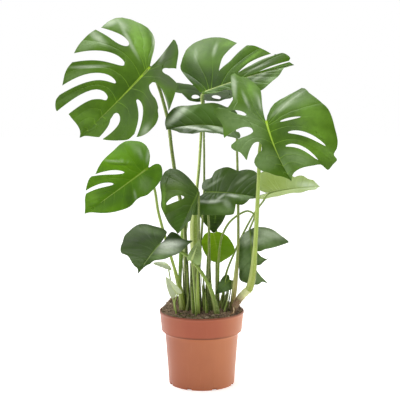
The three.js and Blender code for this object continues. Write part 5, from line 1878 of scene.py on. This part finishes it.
def addLeaves(tube):
    blades, stalks = {}, {}
    for key, look in leafLooks.items():
        upper = bladeMaterial(f"{key}_upper", look, True)
        blades[key] = [upper, bladeMaterial(f"{key}_under", look, False)]
    for key, tones in stalkLook["tones"].items():
        paintedLitShare = stalkLook["sheathPaintedLitShare" if key == "sheath" else "paintedLitShare"]
        stalks[key] = stalkMaterial(f"stalk_{key}", tones, paintedLitShare)
    slots = {"leaf": "leaf", "darkLeaf": "dark_leaf", "youngLeaf": "young_leaf", "paleLeaf": "pale_leaf"}
    before, end = (np.array(point, float) for point in rhizome["route"][-2:])
    rhizomeEnd = end + unit(end - before) * rhizome["step"]
    for spec in leaves:
        leaf = placed(spec)
        colour = spec.get("colour", "leaf")
        mesh = bladeMesh(leaf, blades[ownLook.get(leaf["name"], colour)])
        declared(newPiece("blade_" + leaf["name"], mesh), "leaf_" + leaf["name"], slots[colour])
        path = pathMesh(*stalkPath(leaf, rhizomeEnd))
        material = stalks[stalkLook["toneOf"].get(leaf["name"], "green")]
        values = {"Sides": stalkLook["sides"], "Flat": 1.0, "Grain": stalkLook["grain"] * mm,
            "Material": material}
        piece = newPiece("petiole_" + leaf["name"], grown(path, tube, values))
        declared(piece, "stalk_" + leaf["name"], "stalk")
    print("blades and petioles:", len(leaves))


# Old stems and sheath ends among the stalks
oldStems = {
    "sides": 12,
    "flat": 0.7,
    "grain": 1.6,
    "step": 6,
    "foot": (-6, 16),        # from and to where a stem stands straight in the soil
    "taper": (1, 1, 0.8, 0.25),
    # by tone: foot x and y, top x, y and z, radius
    "stems": {
        "dark": [
            (-49, 0, -54, 0, 346, 5.5), (-26, -20, -31, -16, 346, 9.0), (14, -24, 11, -20, 284, 4.5),
            (22, -30, 17, -22, 296, 6.5), (38, -20, 31, -14, 268, 5.0), (64, 0, 80, 4, 292, 3.8),
            (74, -12, 86, -8, 296, 3.0), (2, 10, 6, 12, 300, 4.4), (-40, -30, -36, -24, 262, 6.0)
        ],
        "green": [
            (10, -10, 3, -6, 322, 5.4), (32, -26, 25, -20, 300, 6.4), (58, -10, 72, -4, 272, 3.8),
            (16, 20, 16, 24, 366, 6.4), (-14, -46, -12, -40, 300, 4.4), (-60, -16, -60, -10, 318, 4.4),
            (14, -56, 9, -46, 270, 5.0), (44, -50, 32, -36, 264, 4.6), (-24, -56, -28, -44, 284, 5.0),
            (64, -42, 76, -26, 262, 3.4)
        ],
        "pale": [
            (-10, -62, -12, -52, 342, 5.4), (-38, -8, -42, -6, 340, 5.0), (50, -6, 76, 0, 330, 3.0),
            (6, -36, -2, -30, 318, 3.2)
        ],
    },
}


def oldStemPath(stems):
    # Each stem bows a little and thins out to its top
    centres, radii, share, lines = [], [], [], []
    low, high = (soil["top"] + reach for reach in oldStems["foot"])
    for x, y, topX, topY, topZ, radius in stems:
        halfWay = (0.6 * x + 0.4 * topX, 0.6 * y + 0.4 * topY, 0.5 * (soil["top"] + topZ))
        bow = [(x, y, low), (x, y, high), halfWay, (topX, topY, topZ)]
        thinning = [radius * part for part in oldStems["taper"]]
        places, widths, way = pathThrough(bow, thinning, oldStems["step"])
        first = len(radii)
        lines += [(first + i, first + i + 1) for i in range(len(widths) - 1)]
        centres.extend(places)
        radii.extend(widths)
        share.extend(way)
    return np.array(centres), np.array(radii), np.array(share), lines


def addOldStems(tube):
    meshes = []
    for tone, stems in oldStems["stems"].items():
        # old stems take the two lowest colours of their tone, and with them its painted shade
        foot, low, *_ = stalkLook["tones"][tone]
        material = stalkMaterial(f"old_stem_{tone}", [foot, low, low, low], stalkLook["paintedLitShare"])
        values = {"Sides": oldStems["sides"], "Flat": oldStems["flat"],
            "Grain": oldStems["grain"] * mm, "Material": material}
        meshes.append(grown(pathMesh(*oldStemPath(stems)), tube, values))
    declared(joined("old_stems", meshes), None, "stalk")
    print("old stems")


def rolledMesh(material):
    # The next leaf, still rolled: its outer edge laps once round it as a spiral step
    widths = [rolledLeaf["radii"][0], *rolledLeaf["radii"]]
    centres, radii, share = pathThrough(rooted(rolledLeaf), widths, rolledLeaf["step"])
    sides = rolledLeaf["sides"]
    vertices, faces = [], []
    side = np.array([1.0, 0.0, 0.0])
    for i, centre in enumerate(centres):
        run = unit(centres[min(i + 1, len(centres) - 1)] - centres[max(i - 1, 0)])
        side = unit(side - run * side.dot(run))
        other = np.cross(run, side)
        lap = rolledLeaf["overlap"] * smooth((share[i] - 0.35) * 4)
        for k in range(sides):
            turn = 2 * math.pi * (k - (k == sides - 1) * 0.9) / (sides - 1)
            turn += rolledLeaf["twist"] * share[i]
            radius = radii[i] * (1 - lap / 2 + lap * (k / (sides - 2) if k < sides - 1 else 0.5))
            vertices.append(centre + radius * (math.cos(turn) * side + math.sin(turn) * other))
    for i in range(len(centres) - 1):
        for k in range(sides):
            a, b = i * sides + k, i * sides + (k + 1) % sides
            faces.append((a, b, b + sides, a + sides))
    lastRing = (len(centres) - 1) * sides
    faces += [tuple(reversed(range(sides))), tuple(range(lastRing, lastRing + sides))]
    mesh = bpy.data.meshes.new("rolled")
    mesh.from_pydata((np.array(vertices) * mm).tolist(), [], faces)
    store(mesh, "reach", np.repeat(share, sides))
    mesh.materials.append(material)
    return tidied(mesh, rolledLeaf["sharpFrom"])


def addYoungGrowth(tube):
    green = stalkMaterial("rolled_green", rolledLeaf["tones"], stalkLook["paintedLitShare"])
    declared(newPiece("rolled_blade", rolledMesh(green)), "leaf_rolled", "pale_stalk")
    widths = [rhizome["radii"][0], *rhizome["radii"]]
    centres, radii, share = pathThrough(rooted(rhizome), widths, rhizome["step"])
    for scar in rhizome["scars"]:
        ridge = rhizome["scarRise"] * np.exp(-((share - scar) / rhizome["scarWidth"]) ** 2)
        beside = (share - scar - rhizome["groovePlace"]) / rhizome["grooveWidth"]
        groove = rhizome["grooveDepth"] * np.exp(-(beside**2))
        radii = radii * (1 + ridge - groove)
    bark = barkMaterial("rhizome_bark", rhizome["skin"], rhizome["skinDark"], rhizome["skinPale"])
    values = {"Sides": rhizome["sides"], "Flat": 1.0, "Grain": rhizome["grain"] * mm, "Material": bark}
    mesh = grown(pathMesh(centres, radii, share), tube, values)
    declared(newPiece("rhizome_stem", mesh), "rhizome", "rhizome")
    path = pathMesh(*pathThrough(rooted(aerialRoot), [aerialRoot["radius"]] * 5, rhizome["step"]))
    skin = barkMaterial("root_skin", aerialRoot["skin"], rhizome["skinDark"], aerialRoot["skinPale"])
    values = {"Sides": aerialRoot["sides"], "Flat": 1.0, "Grain": aerialRoot["grain"] * mm,
        "Material": skin}
    declared(newPiece("root_in_air", grown(path, tube, values)), "aerial_root", "root")
    print("rolled leaf, rhizome and root")


tube = tubeTree()
scatter = scatterTree()
addPot()
addSoil(scatter)
addLeaves(tube)
addYoungGrowth(tube)
addOldStems(tube)
